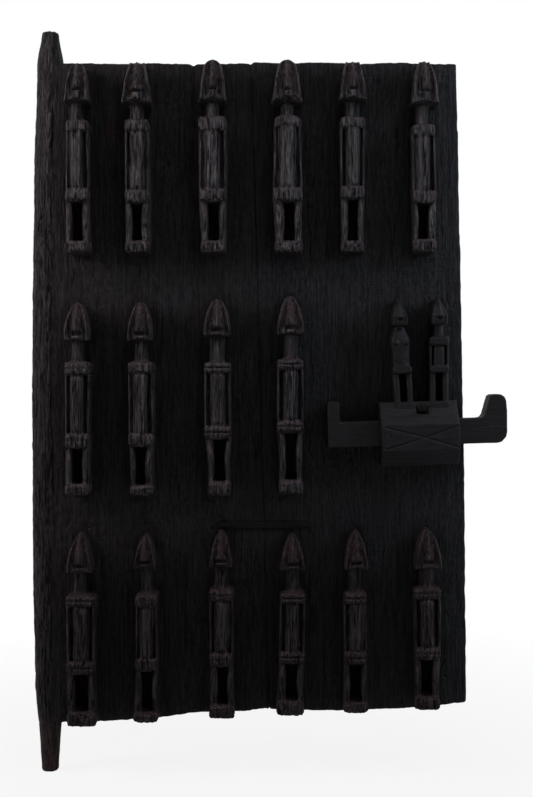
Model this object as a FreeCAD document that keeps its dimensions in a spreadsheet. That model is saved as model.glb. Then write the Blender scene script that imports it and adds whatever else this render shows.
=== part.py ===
"""Carved granary door: two planks on wooden pivots, stapled together, with a wooden tumbler lock.

Frame: the origin is the end of the lower pivot on the pivot axis, Z is up, the carved front faces -Y
and +X runs from the hinge post to the free edge. All sizes are in millimetres.
"""
import FreeCAD, Part
import os
import re
import Sketcher

SIZES = {
    # the leaf, in front view, from the end of the lower pivot and from the pivot axis
    "leaf_top": 852.3, "foot_at_post": 59.8, "foot_at_joint": 77.3, "foot_at_edge": 85.3,
    "post_top_reach": 15.6, "post_foot_reach": 14, "post_bow": 7.6, "post_round": 11.5,
    "joint_top": 243.6, "joint_foot": 266.2, "joint_gap": 0.6,
    "edge_top": 488.7, "edge_foot": 501.7,
    "plank_thickness": 30, "plank_corner": 2.5,
    # the pivots and the round post between them
    "pivot_rise": 41.7, "pivot_radius": 10.8, "journal_length": 10,
    "upper_neck_radius": 16.6, "lower_neck_radius": 14.2, "post_radius": 17, "post_blend": 40,
    # figures carved from the planks
    "figure_relief": 38, "figure_root": 5,
    # the lock, which sits a little askew on its plank
    "lock_inset": 60.9, "lock_height": 409.7, "lock_tilt": 1.8,
    "case_width": 90, "case_depth": 52, "case_up": 37.5, "case_down": 37.5,
    "band_up": 10.4, "band_down": 19, "case_top_depth": 30, "case_foot_depth": 34,
    "cross_width": 1.4, "cross_depth": 1, "cross_inset": 3,
    "keeper_left": 20, "keeper_right": 20, "keeper_centre": 4, "keeper_width": 22.5,
    "keeper_tip": 157, "keeper_foot": 24, "keeper_relief": 42,
    # the bolt and the room round it
    "bolt_top": 16.4, "bolt_bottom": 14.6, "throw_stop": 1.5, "hook_gap": 28.9,
    "bolt_thickness": 30, "hook_top": 41, "left_hook": 15.2, "right_hook": 29.8,
    "hook_lean": 8.4, "hook_corner": 5.6, "toe_rise": 12, "toe_corner": 8.4,
    "bolt_play": 0.5, "bolt_backing": 0.4,
    # the tumblers, their chambers and notches, and the key groove
    "tumbler_width": 9, "tumbler_depth": 10, "tumbler_height": 12, "tumbler_lift": 3.4,
    "tumbler_play": 0.4, "tumbler_seat": 0.3, "tumbler_left_reach": 15,
    "tumbler_right_reach": 23,
    "bolt_throw": 45, "notch_depth": 6, "groove_height": 9, "groove_depth": 8,
    # iron fastenings
    "staple_span": 112, "staple_width": 7, "staple_stock": 3.5, "staple_bend": 1.6,
    "staple_bite": 24, "staple_clench": 15, "iron_play": 0.15,
    "front_staple_rise": 7.5, "upper_staple_height": 724.3, "lower_staple_height": 169.3,
    "nail_stock": 4, "nail_head": 11, "nail_head_height": 3, "nail_bite": 22,
    "case_nail_across": 4, "case_nail_up": 29.5, "case_nail_bite": 24,
    "nail_pocket": 15, "nail_pocket_depth": 34,
    "left_nail_inset": 17, "right_nail_inset": 11, "back_nail_down": 27,
    "tack_inset": 81.7, "tack_height": 117.1, "tack_head": 5, "tack_head_height": 1.5,
    "tack_shank": 2.4, "tack_length": 18,
    "overrun": 20,
}

# Each carved figure: centre from the pivot axis, tip below the leaf's top edge, length from tip to
# foot, and width
FIGURES = {
    "upper_1": (39.8, 8.5, 222.5, 27.8), "upper_2": (109.8, 7.6, 223.5, 28.6),
    "upper_3": (198.8, 4, 227, 29.8), "upper_4": (287.1, 4, 227, 31),
    "upper_5": (363.5, 7, 223.5, 30.4), "upper_6": (447, 7, 223.5, 30),
    "middle_1": (39.8, 291, 225, 28.9), "middle_2": (114.4, 290, 226.5, 29.4),
    "middle_3": (204.8, 286.5, 230, 31.6), "middle_4": (290, 283, 232, 30),
    "lower_1": (43.9, 564, 223.5, 35.5), "lower_2": (120.8, 564, 219, 26.6),
    "lower_3": (209.2, 560.5, 217.5, 28), "lower_4": (291.8, 564, 210.5, 30),
    "lower_5": (366.9, 560.5, 211, 27), "lower_6": (451.2, 558, 210, 31.6),
}
HINGE_SIDE = ("upper_1", "upper_2", "upper_3", "middle_1", "middle_2", "middle_3",
              "lower_1", "lower_2", "lower_3")
LOCK_SIDE = ("upper_4", "upper_5", "upper_6", "middle_4", "lower_4", "lower_5", "lower_6")

for figure, (across, drop, length, width) in FIGURES.items():
    SIZES.update({f"{figure}_across": across, f"{figure}_drop": drop, f"{figure}_length": length,
                  f"{figure}_width": width})

# Heights of a figure's members as shares of its length, from the foot up
HEIGHT_SHARES = {
    "upper": {"foot": 0.062, "legs": 0.213, "hips": 0.067, "torso": 0.302, "shoulders": 0.067,
              "neck": 0.089, "head": 0.2},
    "middle": {"foot": 0.067, "legs": 0.197, "hips": 0.073, "torso": 0.3, "shoulders": 0.062,
               "neck": 0.104, "head": 0.197},
    "lower": {"foot": 0.071, "legs": 0.207, "hips": 0.065, "torso": 0.276, "shoulders": 0.065,
              "neck": 0.109, "head": 0.207},
    "keeper": {"foot": 0.095, "legs": 0.25, "hips": 0.068, "torso": 0.17, "shoulders": 0.085,
               "neck": 0.1, "head": 0.232},
}
# Widths as shares of the figure's width and depths as shares of its relief
WIDTH_SHARES = {"neck": 0.52, "torso": 0.52, "arm": 0.13, "leg": 0.29, "ridge_tip": 0.16,
                "ridge": 0.34}
DEPTH_SHARES = {"foot": 0.86, "legs": 0.72, "hips": 0.84, "torso": 0.84, "arms": 0.68,
                "shoulders": 0.86, "neck": 0.66, "jaw": 0.92, "brow": 0.84, "crown": 0.46,
                "ridge_stand": 0.08}
# The head is widest at the jaw: how far up the brow is as a share of the head's height, then the
# brow's and the tip's widths as shares of the figure's
BROW_SHARES = {"upper": (0.5, 0.74, 0.4), "middle": (0.5, 0.88, 0.26), "lower": (0.52, 0.84, 0.16),
               "keeper": (0.36, 0.94, 0.16)}

doc = FreeCAD.newDocument("granary_door")
sheet = doc.addObject("Spreadsheet::Sheet", "Sizes")
for row, (alias, value) in enumerate(SIZES.items(), start=1):
    sheet.set(f"A{row}", alias)
    sheet.set(f"B{row}", str(value))
    sheet.setAlias(f"B{row}", alias)
doc.recompute()


def linked(formula):
    """Write a formula's size names as references to the sheet."""
    return re.sub(r"[a-z][a-z0-9_]*", lambda word: f"Sizes.{word[0]}" if word[0] in SIZES else word[0],
                  str(formula))


def size_of(formula):
    """Value of a formula now, in millimetres."""
    return float(sheet.evalExpression(linked(formula)))


def bind(thing, **formulas):
    """Tie an object's properties to formulas; two underscores stand for a dot."""
    for name, formula in formulas.items():
        thing.setExpression(name.replace("__", "."), linked(formula))
    return thing


def place(thing, x, y, z):
    """Tie an object's position to three formulas."""
    return bind(thing, Placement__Base__x=x, Placement__Base__y=y, Placement__Base__z=z)


def add(kind, label):
    """New document object with its own label."""
    thing = doc.addObject(kind, label)
    thing.Label = label
    return thing


def block(label, x, y, z, width, depth, height):
    """Box from its lowest corner."""
    return place(bind(add("Part::Box", label), Length=width, Width=depth, Height=height), x, y, z)


def rod(label, x, y, z, radius, height):
    """Upright cylinder from its lower centre."""
    return place(bind(add("Part::Cylinder", label), Radius=radius, Height=height), x, y, z)


def taper(label, x, y, z, root, height, low, high):
    """Upright wedge with its back at y + root; low and high are each a width and a depth."""
    wedge = add("Part::Wedge", label)
    bind(wedge, Xmin=f"-({low[0]}) / 2", Xmax=f"({low[0]}) / 2", Zmin=f"-({root})", Zmax=low[1],
         X2min=f"-({high[0]}) / 2", X2max=f"({high[0]}) / 2", Z2min=f"-({root})", Z2max=high[1],
         Ymin="0", Ymax=height)
    wedge.Placement.Rotation = FreeCAD.Rotation(FreeCAD.Vector(1, 0, 0), 90)
    return place(wedge, x, y, z)


def joined(label, pieces):
    """One solid out of several."""
    fuse = add("Part::MultiFuse", label)
    fuse.Shapes = pieces
    return fuse


def cut(label, base, tools):
    """A solid with the tools taken out of it."""
    result = add("Part::Cut", label)
    result.Base = base
    result.Tool = tools[0] if len(tools) == 1 else joined(f"{label}_cuts", tools)
    return result


LOCK_ACROSS = "edge_foot - lock_inset"


def lay_in_lock(thing, x="0", y="0", z="0"):
    """Put a piece that is modelled about the lock's own centre on the plank, with the lock's tilt."""
    thing.Placement.Rotation = FreeCAD.Rotation(FreeCAD.Vector(0, -1, 0), 1)
    bind(thing, Placement__Rotation__Angle="lock_tilt")
    place(thing, f"{LOCK_ACROSS} + ({x}) * cos(lock_tilt) - ({z}) * sin(lock_tilt)",
          f"0 - plank_thickness / 2 + {y}",
          f"lock_height + ({x}) * sin(lock_tilt) + ({z}) * cos(lock_tilt)")
    return thing


def outline(body, role, points, arcs=None):
    """Closed sketch on one of a body's origin planes.

    points are pairs of formulas. arcs gives, for the index of a side's first point, the formula of
    how far that side bows out to the left of its run.
    """
    arcs = arcs or {}
    plane = next(plane for plane in body.Origin.OriginFeatures if plane.Role == role)
    sketch = body.newObject("Sketcher::SketchObject", f"{body.Name}_outline")
    sketch.AttachmentSupport = (plane, [""])
    sketch.MapMode = "FlatFace"
    spots = [FreeCAD.Vector(size_of(x), size_of(y), 0) for x, y in points]
    afters = [(index + 1) % len(points) for index in range(len(points))]
    radii = {}
    for index, bow in arcs.items():
        (x, y), (far_x, far_y) = points[index], points[afters[index]]
        run_squared = f"((({far_x}) - ({x})) ^ 2 + (({far_y}) - ({y})) ^ 2)"
        radii[index] = f"({run_squared} / 4 + ({bow}) ^ 2) / (2 * ({bow}))"
    ends = []
    for index, start in enumerate(spots):
        end = spots[afters[index]]
        if index in arcs:
            # Bowed to the left of its run, so the arc turns anticlockwise from its far end
            run = end - start
            radius = size_of(radii[index])
            inward = FreeCAD.Vector(run.y, -run.x, 0).normalize()
            centre = (start + end) * 0.5 + inward * (radius - size_of(arcs[index]))
            circle = Part.Circle(centre, FreeCAD.Vector(0, 0, 1), radius)
            sketch.addGeometry(Part.ArcOfCircle(circle, circle.parameter(end), circle.parameter(start)))
            ends.append((2, 1))
        else:
            sketch.addGeometry(Part.LineSegment(start, end))
            ends.append((1, 2))
    for index, (x, y) in enumerate(points):
        after = afters[index]
        sketch.addConstraint(Sketcher.Constraint("Coincident", index, ends[index][1], after, ends[after][0]))
        for kind, formula, axis, value in (("DistanceX", x, -2, spots[index].x),
                                           ("DistanceY", y, -1, spots[index].y)):
            if value == 0:
                sketch.addConstraint(Sketcher.Constraint("PointOnObject", index, ends[index][0], axis))
            else:
                number = sketch.addConstraint(
                    Sketcher.Constraint(kind, -1, 1, index, ends[index][0], value))
                sketch.setExpression(f"Constraints[{number}]", linked(formula))
        if index in arcs:
            number = sketch.addConstraint(Sketcher.Constraint("Radius", index, size_of(radii[index])))
            sketch.setExpression(f"Constraints[{number}]", linked(radii[index]))
    return sketch


def slab(label, role, points, thickness, arcs=None):
    """Body padded both ways from an origin plane."""
    body = add("PartDesign::Body", label)
    sketch = outline(body, role, points, arcs)
    pad = body.newObject("PartDesign::Pad", f"{label}_pad")
    pad.Profile = sketch
    pad.SideType = "Symmetric"
    bind(pad, Length=thickness)
    body.Tip = pad
    doc.recompute()
    return body, pad


def rounded(body, base, wanted, radius):
    """Fillet on the edges of a feature that the test picks."""
    names = [f"Edge{number}" for number, edge in enumerate(base.Shape.Edges, start=1) if wanted(edge)]
    fillet = body.newObject("PartDesign::Fillet", f"{body.Name}_round")
    fillet.Base = (base, names)
    bind(fillet, Radius=radius)
    body.Tip = fillet
    doc.recompute()
    return fillet


def carved_figure(name, style, x, front, foot, length, width, relief, root):
    """Standing figure in high relief with its back at y = front: the list of its members.

    style names its shares of height; the other arguments are formulas.
    """
    shares = HEIGHT_SHARES[style]
    level = {}
    height = "0"
    for member, share in shares.items():
        level[member] = f"{foot} + ({length}) * ({height})"
        height = f"{height} + {share}"

    def tall(member):
        return f"({length}) * {shares[member]}"

    def wide(member):
        return f"({width}) * {WIDTH_SHARES[member]}"

    def deep(member):
        return f"({relief}) * {DEPTH_SHARES[member]}"

    def bar(member, low, high, centre, across, out):
        return block(f"{name}_{member}", f"{x} + ({centre}) - ({across}) / 2", f"{front} - ({out})", low,
                     across, f"{out} + {root}", high)

    members = [bar(part, level[part], tall(part), "0", width, deep(part))
               for part in ("foot", "hips", "shoulders")]
    members.append(bar("neck", level["neck"], tall("neck"), "0", wide("neck"), deep("neck")))
    for side, sign in (("left", "-"), ("right", "")):
        members.append(bar(f"{side}_leg", level["legs"], tall("legs"),
                           f"{sign}(({width}) - ({wide('leg')})) / 2", wide("leg"), deep("legs")))
        members.append(bar(f"{side}_arm", level["torso"], tall("torso"),
                           f"{sign}(({width}) - ({wide('arm')})) / 2", wide("arm"), deep("arms")))
    chest = f"({wide('torso')}) / 2"
    members.append(bar("back", level["torso"], tall("torso"), "0", wide("torso"),
                       f"{deep('torso')} - {chest}"))
    members.append(rod(f"{name}_chest", x, f"{front} - {deep('torso')} + {chest}", level["torso"],
                       chest, tall("torso")))
    brow_share, brow_width_share, tip_width_share = BROW_SHARES[style]
    jaw = (width, deep("jaw"))
    brow = (f"({width}) * {brow_width_share}", deep("brow"))
    tip = (f"({width}) * {tip_width_share}", deep("crown"))
    members.append(taper(f"{name}_jaw", x, front, level["head"], root, f"{tall('head')} * {brow_share}",
                         jaw, brow))
    members.append(taper(f"{name}_crown", x, front, f"{level['head']} + {tall('head')} * {brow_share}",
                         root, f"{tall('head')} * (1 - {brow_share})", brow, tip))
    stand = deep("ridge_stand")
    members.append(taper(f"{name}_ridge", x, front, level["head"], root, f"{tall('head')} * {brow_share}",
                         (wide("ridge"), f"{jaw[1]} + {stand}"),
                         (wide("ridge_tip"), f"{brow[1]} + {stand}")))
    return members


GROUND = "0 - plank_thickness / 2"


def joint_at(height):
    """Formula of the joint's distance from the pivot axis at a height."""
    run = f"(leaf_top - ({height})) / (leaf_top - foot_at_joint)"
    return f"joint_top + (joint_foot - joint_top) * {run}"


def plank_figures(names):
    """Figures of one plank, each joined into one solid."""
    figures = []
    for name in names:
        style = name.split("_")[0]
        foot = f"leaf_top - {name}_drop - {name}_length"
        members = carved_figure(name, style, f"{name}_across", GROUND, foot, f"{name}_length",
                                f"{name}_width", "figure_relief", "figure_root")
        figures.append(joined(name, members))
    return figures


def post():
    """Round post with a tapering pivot at each end, as half of its section."""
    top = "leaf_top + pivot_rise"
    body = add("PartDesign::Body", "post")
    sketch = outline(body, "XZ_Plane", [
        ("0", "0"), ("pivot_radius", "0"), ("pivot_radius", "journal_length"),
        ("lower_neck_radius", "foot_at_post"), ("post_radius", "foot_at_post + post_blend"),
        ("post_radius", "leaf_top - post_blend"), ("upper_neck_radius", "leaf_top"),
        ("pivot_radius", f"{top} - journal_length"), ("pivot_radius", top), ("0", top)])
    turned = body.newObject("PartDesign::Revolution", "post_turned")
    turned.Profile = sketch
    turned.ReferenceAxis = (sketch, ["V_Axis"])
    turned.Angle = 360
    body.Tip = turned
    return body


def hinge_board():
    """Plank on the hinge side, with its bowed and rounded outer edge."""
    body, pad = slab("hinge_board", "XZ_Plane", [
        ("-post_foot_reach", "foot_at_post"), ("-post_top_reach", "leaf_top"),
        ("joint_top - joint_gap / 2", "leaf_top"), ("joint_foot - joint_gap / 2", "foot_at_joint")],
        "plank_thickness", {0: "post_bow"})
    rounded(body, pad, lambda edge: isinstance(edge.Curve, Part.Circle), "post_round")
    return body


def lock_board():
    """Plank on the lock side, with its free edge eased."""
    body, pad = slab("lock_board", "XZ_Plane", [
        ("joint_foot + joint_gap / 2", "foot_at_joint"), ("joint_top + joint_gap / 2", "leaf_top"),
        ("edge_top", "leaf_top"), ("edge_foot", "foot_at_edge")], "plank_thickness")
    middle = (size_of("edge_top") + size_of("joint_foot")) / 2

    def free_edge(edge):
        upright = abs(edge.Vertexes[0].Y - edge.Vertexes[-1].Y) < size_of("plank_corner")
        return upright and min(vertex.X for vertex in edge.Vertexes) > middle

    rounded(body, pad, free_edge, "plank_corner")
    return body


def staple(label, face, height, facing_back):
    """Forged iron staple over the joint, its legs driven into the planks.

    The one that faces the front goes right through and is clenched on the back.
    """
    half = "staple_span / 2"
    inner = "(staple_span / 2 - staple_stock)"
    if facing_back:
        right = [(half, "staple_bite"), (inner, "staple_bite")]
    else:
        turn = "plank_thickness + staple_stock"
        right = [(half, turn), (f"{half} - staple_clench", turn),
                 (f"{half} - staple_clench", "plank_thickness"), (inner, "plank_thickness")]
    left = [(f"-({x})", y) for x, y in reversed(right)]
    crown_start = [(f"-{half}", "-staple_stock"), (half, "-staple_stock")]
    points = crown_start + right + [(inner, "0"), (f"-{inner}", "0")] + left
    body, pad = slab(label, "XY_Plane", points, "staple_width")
    corner = size_of(half)
    depth = size_of("staple_stock")

    def crown_corner(edge):
        return all(abs(abs(v.X) - corner) < depth / 2 and v.Y < -depth / 2 for v in edge.Vertexes)

    rounded(body, pad, crown_corner, "staple_bend")
    if facing_back:
        body.Placement.Rotation = FreeCAD.Rotation(FreeCAD.Vector(0, 0, 1), 180)
    return place(body, joint_at(height), face, height)


def staple_holes(label, height, deep, facing_back):
    """Two holes for a staple's legs: the one in the hinge plank, then the one in the lock plank."""
    holes = []
    for side, start in (("hinge", "0 - staple_span / 2 - iron_play"),
                        ("lock", "staple_span / 2 - staple_stock - iron_play")):
        y = f"plank_thickness / 2 - ({deep})" if facing_back else "0 - plank_thickness / 2 - overrun"
        run = f"({deep}) + overrun" if facing_back else "plank_thickness + 2 * overrun"
        holes.append(block(f"{label}_{side}_hole", f"{joint_at(height)} + {start}", y,
                           f"{height} - staple_width / 2 - iron_play", "staple_stock + 2 * iron_play",
                           run, "staple_width + 2 * iron_play"))
    return holes


def square_nail(label, x, head_face, z, length, points_back):
    """Forged nail about the lock's centre: head_face is the depth of the face that its head sits on."""
    shank_y = head_face if points_back else f"{head_face} - ({length})"
    head_y = f"{head_face} - nail_head_height" if points_back else head_face
    shank = block(f"{label}_shank", f"{x} - nail_stock / 2", shank_y, f"{z} - nail_stock / 2",
                  "nail_stock", length, "nail_stock")
    head = block(f"{label}_head", f"{x} - nail_head / 2", head_y, f"{z} - nail_head / 2",
                 "nail_head", "nail_head_height", "nail_head")
    return lay_in_lock(joined(label, [shank, head]))


def nail_hole(label, x, z, low, high):
    """Square hole for a nail in the lock case, from y = low to y = high about the lock's centre."""
    return block(label, f"{x} - nail_stock / 2 - iron_play", low, f"{z} - nail_stock / 2 - iron_play",
                 "nail_stock + 2 * iron_play", f"({high}) - ({low})", "nail_stock + 2 * iron_play")


def plank_nail_hole(label, x, z, reach):
    """Square hole for a nail of the lock, from the plank's front to a depth of reach."""
    hole = add("Part::Box", label)
    bind(hole, Length="nail_stock + 2 * iron_play", Width=f"overrun + {reach}",
         Height="nail_stock + 2 * iron_play")
    return lay_in_lock(hole, f"{x} - nail_stock / 2 - iron_play", "0 - overrun",
                       f"{z} - nail_stock / 2 - iron_play")


TUMBLER_PLACES = {"tumbler_left": "keeper_centre - tumbler_left_reach",
                  "tumbler_right": "keeper_centre + tumbler_right_reach"}
BACK_NAILS = {"lock_nail_left": "left_nail_inset - case_width / 2",
              "lock_nail_right": "case_width / 2 - right_nail_inset"}
TUMBLER_FLOOR = "bolt_top + tumbler_seat"
BOLT_LEFT = "(case_width / 2 + bolt_throw + throw_stop + left_hook)"
BOLT_RIGHT = "(case_width / 2 + hook_gap + right_hook)"
TACK_ACROSS = "edge_foot - tack_inset"


def lock_case():
    """Lock case with its bevelled front and two standing figures, hollowed from behind."""
    body, _ = slab("case_block", "YZ_Plane", [
        ("0", "-case_down"), ("-case_foot_depth", "-case_down"), ("-case_depth", "-band_down"),
        ("-case_depth", "band_up"), ("-case_top_depth", "case_up"), ("0", "case_up")], "case_width")
    keepers = []
    for side, x in (("left", "keeper_centre - keeper_left"), ("right", "keeper_centre + keeper_right")):
        keepers += carved_figure(f"keeper_{side}", "keeper", x, "0", "keeper_foot",
                                 "keeper_tip - keeper_foot", "keeper_width", "keeper_relief", "0")
    channel = block("bolt_channel", "0 - case_width / 2 - overrun", "0 - bolt_backing - bolt_thickness - "
                    "bolt_play", "0 - bolt_bottom - bolt_play", "case_width + 2 * overrun",
                    "bolt_backing + bolt_thickness + bolt_play + overrun",
                    "bolt_top + bolt_bottom + 2 * bolt_play")
    tools = [channel]
    for name, x in TUMBLER_PLACES.items():
        tools.append(block(f"{name}_chamber", f"{x} - tumbler_width / 2 - tumbler_play",
                           "0 - bolt_backing - tumbler_depth - tumbler_play", "bolt_top",
                           "tumbler_width + 2 * tumbler_play",
                           "bolt_backing + tumbler_depth + tumbler_play + overrun",
                           "tumbler_seat + tumbler_height + tumbler_lift + tumbler_play"))
    tools.append(block("nail_pocket_cut", "case_nail_across - nail_pocket / 2",
                       "0 - nail_pocket_depth - overrun", "case_nail_up - nail_pocket / 2",
                       "nail_pocket", "overrun", "nail_pocket + overrun"))
    tools.append(nail_hole("case_nail_hole", "case_nail_across", "case_nail_up",
                           "0 - nail_pocket_depth - overrun", "overrun"))
    for name, x in BACK_NAILS.items():
        tools.append(nail_hole(f"{name}_case_hole", x, "0 - back_nail_down",
                               "0 - nail_bite - iron_play", "overrun"))
    rise = "(band_up + band_down - 2 * cross_inset)"
    run = "(case_width - 2 * cross_inset)"
    for name, sign in (("rising", ""), ("falling", "-")):
        stroke = block(f"{name}_stroke", "0", "0", "0", f"sqrt({rise} ^ 2 + {run} ^ 2)", "cross_depth + "
                       "overrun", "cross_width")
        stroke.Placement.Rotation = FreeCAD.Rotation(FreeCAD.Vector(0, -1, 0), 1)
        bind(stroke, Placement__Rotation__Angle=f"{sign}atan({rise} / {run})")
        start = "0 - band_down + cross_inset" if name == "rising" else "band_up - cross_inset"
        tools.append(place(stroke, "0 - case_width / 2 + cross_inset",
                           "0 - case_depth - overrun", start))
    return lay_in_lock(cut("lock_case", joined("case_carving", [body] + keepers), tools))


def bolt():
    """Sliding bolt with an upstand at its left end and a hooked right end."""
    shank, _ = slab("bolt_blank", "XZ_Plane", [
        (f"-{BOLT_LEFT}", "-bolt_bottom"), (f"-{BOLT_LEFT}", "hook_top"),
        (f"left_hook - {BOLT_LEFT}", "hook_top"), (f"left_hook - {BOLT_LEFT}", "bolt_top"),
        (f"{BOLT_RIGHT} - right_hook", "bolt_top"),
        (f"{BOLT_RIGHT} - right_hook + hook_lean", "hook_top"),
        (f"{BOLT_RIGHT} - hook_corner", "hook_top"), (BOLT_RIGHT, "hook_top - hook_corner"),
        (BOLT_RIGHT, "toe_rise - bolt_bottom"), (f"{BOLT_RIGHT} - toe_corner", "-bolt_bottom")],
        "bolt_thickness")
    place(shank, "0", "0 - bolt_backing - bolt_thickness / 2", "0")
    back = "0 - bolt_backing"
    tools = []
    for name, x in TUMBLER_PLACES.items():
        tools.append(block(f"{name}_notch", f"{x} - bolt_throw - tumbler_width / 2 - tumbler_play",
                           f"{back} - tumbler_depth - 2 * tumbler_play", "bolt_top - notch_depth",
                           "tumbler_width + 2 * tumbler_play", "tumbler_depth + 2 * tumbler_play + overrun",
                           "notch_depth + overrun"))
    reach = f"{TUMBLER_PLACES['tumbler_right']} - bolt_throw + tumbler_width / 2 + tumbler_play"
    tools.append(block("key_groove", f"0 - {BOLT_LEFT} - overrun", f"{back} - groove_depth",
                       "bolt_top - notch_depth - groove_height", f"{BOLT_LEFT} + overrun + {reach}",
                       "groove_depth + overrun", "groove_height"))
    return lay_in_lock(cut("bolt", shank, tools))


def tumbler(name):
    """Wooden peg that stands on the bolt at rest and drops into its notch when the bolt is thrown."""
    peg = add("Part::Box", name)
    bind(peg, Length="tumbler_width", Width="tumbler_depth", Height="tumbler_height")
    return lay_in_lock(peg, f"{TUMBLER_PLACES[name]} - tumbler_width / 2",
                       "0 - bolt_backing - tumbler_depth", TUMBLER_FLOOR)


def tack():
    """Small round-headed nail low on the lock plank."""
    shank = rod("tack_shank_rod", TACK_ACROSS, GROUND, "tack_height", "tack_shank / 2", "tack_length")
    head = rod("tack_head_disc", TACK_ACROSS, f"{GROUND} - tack_head_height", "tack_height",
               "tack_head / 2", "tack_head_height")
    for stem in (shank, head):
        stem.Placement.Rotation = FreeCAD.Rotation(FreeCAD.Vector(1, 0, 0), -90)
    return joined("plank_nail", [shank, head])


def tack_hole():
    """Hole for the small nail."""
    hole = rod("tack_hole", TACK_ACROSS, f"{GROUND} - overrun", "tack_height",
               "tack_shank / 2 + iron_play", "tack_length + overrun + iron_play")
    hole.Placement.Rotation = FreeCAD.Rotation(FreeCAD.Vector(1, 0, 0), -90)
    return hole


# The staple in front lies between two rows of figures, just above the tips of the lower ones
FRONT_STAPLE_HEIGHT = "leaf_top - lower_3_drop + front_staple_rise"
STAPLES = {
    "front_staple": (GROUND, FRONT_STAPLE_HEIGHT, False),
    "upper_back_staple": ("plank_thickness / 2", "upper_staple_height", True),
    "lower_back_staple": ("plank_thickness / 2", "lower_staple_height", True),
}


def planks():
    """Both planks with their figures, and the holes that the iron is driven through."""
    hinge_holes = []
    lock_holes = [tack_hole()]
    for name, (_, height, facing_back) in STAPLES.items():
        hinge_hole, lock_hole = staple_holes(name, height, "staple_bite + iron_play", facing_back)
        hinge_holes.append(hinge_hole)
        lock_holes.append(lock_hole)
    lock_holes.append(plank_nail_hole("lock_nail_front_hole", "case_nail_across", "case_nail_up",
                                      "case_nail_bite + iron_play"))
    for name, x in BACK_NAILS.items():
        lock_holes.append(plank_nail_hole(f"{name}_hole", x, "0 - back_nail_down",
                                          "plank_thickness + overrun"))
    hinge = joined("hinge_carving", [hinge_board(), post()] + plank_figures(HINGE_SIDE))
    lock = joined("lock_carving", [lock_board()] + plank_figures(LOCK_SIDE))
    return [cut("hinge_plank", hinge, hinge_holes), cut("lock_plank", lock, lock_holes)]


def fastenings():
    """Staples over the joint and the nails of the lock."""
    irons = [staple(name, face, height, back) for name, (face, height, back) in STAPLES.items()]
    irons.append(square_nail("lock_nail_front", "case_nail_across", "0 - nail_pocket_depth",
                             "case_nail_up", "nail_pocket_depth + case_nail_bite", True))
    for name, x in BACK_NAILS.items():
        irons.append(square_nail(name, x, "plank_thickness", "0 - back_nail_down",
                                 "plank_thickness + nail_bite", False))
    irons.append(tack())
    return irons


pieces = planks() + [lock_case(), bolt()] + [tumbler(name) for name in TUMBLER_PLACES] + fastenings()
doc.recompute()

for thing in doc.Objects:
    if "Invalid" in thing.State or "Error" in thing.State:
        raise RuntimeError(f"{thing.Label} failed: {thing.State}")
for piece in pieces:
    if piece.Shape.isNull() or not piece.Shape.isValid():
        raise RuntimeError(f"{piece.Label} has no valid shape")
os.makedirs("parts", exist_ok=True)
for piece in pieces:
    piece.Shape.exportStep(f"parts/{piece.Label}.step")
    box = piece.Shape.BoundBox
    print(f"{piece.Label}: {len(piece.Shape.Solids)} solid, {piece.Shape.Volume:.0f} mm3, "
          f"x {box.XMin:.1f}..{box.XMax:.1f} y {box.YMin:.1f}..{box.YMax:.1f} "
          f"z {box.ZMin:.1f}..{box.ZMax:.1f}")
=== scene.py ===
"""Dressed model of a carved granary door: blackened planks, standing figures and a wooden lock.

Modelling is done in millimetres in the frame's own axes, and each finished mesh is turned to metres.
The carved front faces -Y, the pivots turn about the Z axis and +X runs to the free edge.
"""

import logging
import math
from collections.abc import Callable, Sequence
from dataclasses import dataclass, field, replace
from enum import Enum

import bmesh
import bpy
from mathutils import Matrix, Vector, noise

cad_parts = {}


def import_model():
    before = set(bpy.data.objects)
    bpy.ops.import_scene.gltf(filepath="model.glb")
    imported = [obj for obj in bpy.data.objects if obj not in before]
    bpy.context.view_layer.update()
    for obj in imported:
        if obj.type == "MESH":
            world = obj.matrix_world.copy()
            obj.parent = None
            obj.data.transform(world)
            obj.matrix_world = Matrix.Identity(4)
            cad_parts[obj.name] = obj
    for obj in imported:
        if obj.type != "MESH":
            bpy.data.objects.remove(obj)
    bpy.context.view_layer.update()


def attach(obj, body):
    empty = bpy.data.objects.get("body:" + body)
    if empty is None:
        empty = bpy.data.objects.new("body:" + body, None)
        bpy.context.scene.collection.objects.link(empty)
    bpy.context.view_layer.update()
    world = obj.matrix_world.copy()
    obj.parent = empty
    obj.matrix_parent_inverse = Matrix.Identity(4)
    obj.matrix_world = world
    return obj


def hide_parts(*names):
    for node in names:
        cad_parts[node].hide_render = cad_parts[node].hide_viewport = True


log = logging.getLogger("granary_door")

METRES = 0.001
FRONT = -15.0
BACK = 15.0
LEAF_TOP = 852.3
FOOT_AT_JOINT = 77.3
JOINT_TOP = 243.6
JOINT_FOOT = 266.2
UP = Vector((0, 0, 1))
ACROSS = Vector((1, 0, 0))
ROOM_LOW = (-22.5, -67.0, 0.0)
ROOM_HIGH = (544.5, 18.5, 894.0)


class Slot(Enum):
    """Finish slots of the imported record."""

    DARK_WOOD = "dark_wood"
    LOCK_WOOD = "lock_wood"
    IRON = "forged_iron"


class Row(Enum):
    """Rows of figures, each carved in its own manner, and the two on the lock."""

    UPPER = "upper"
    MIDDLE = "middle"
    LOWER = "lower"
    LOCK = "lock"


def smoothstep(low: float, high: float, value: float) -> float:
    """Ease from 0 to 1 as a value goes from low to high.

    Args:
        low: value that gives 0.
        high: value that gives 1; it may be the smaller one.
        value: the value itself.

    Returns:
        The eased share.
    """
    share = min(max((value - low) / (high - low), 0.0), 1.0)
    return share * share * (3.0 - 2.0 * share)


def mix(start: float, end: float, share: float) -> float:
    """Value a share of the way from start to end."""
    return start + (end - start) * share


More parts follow.
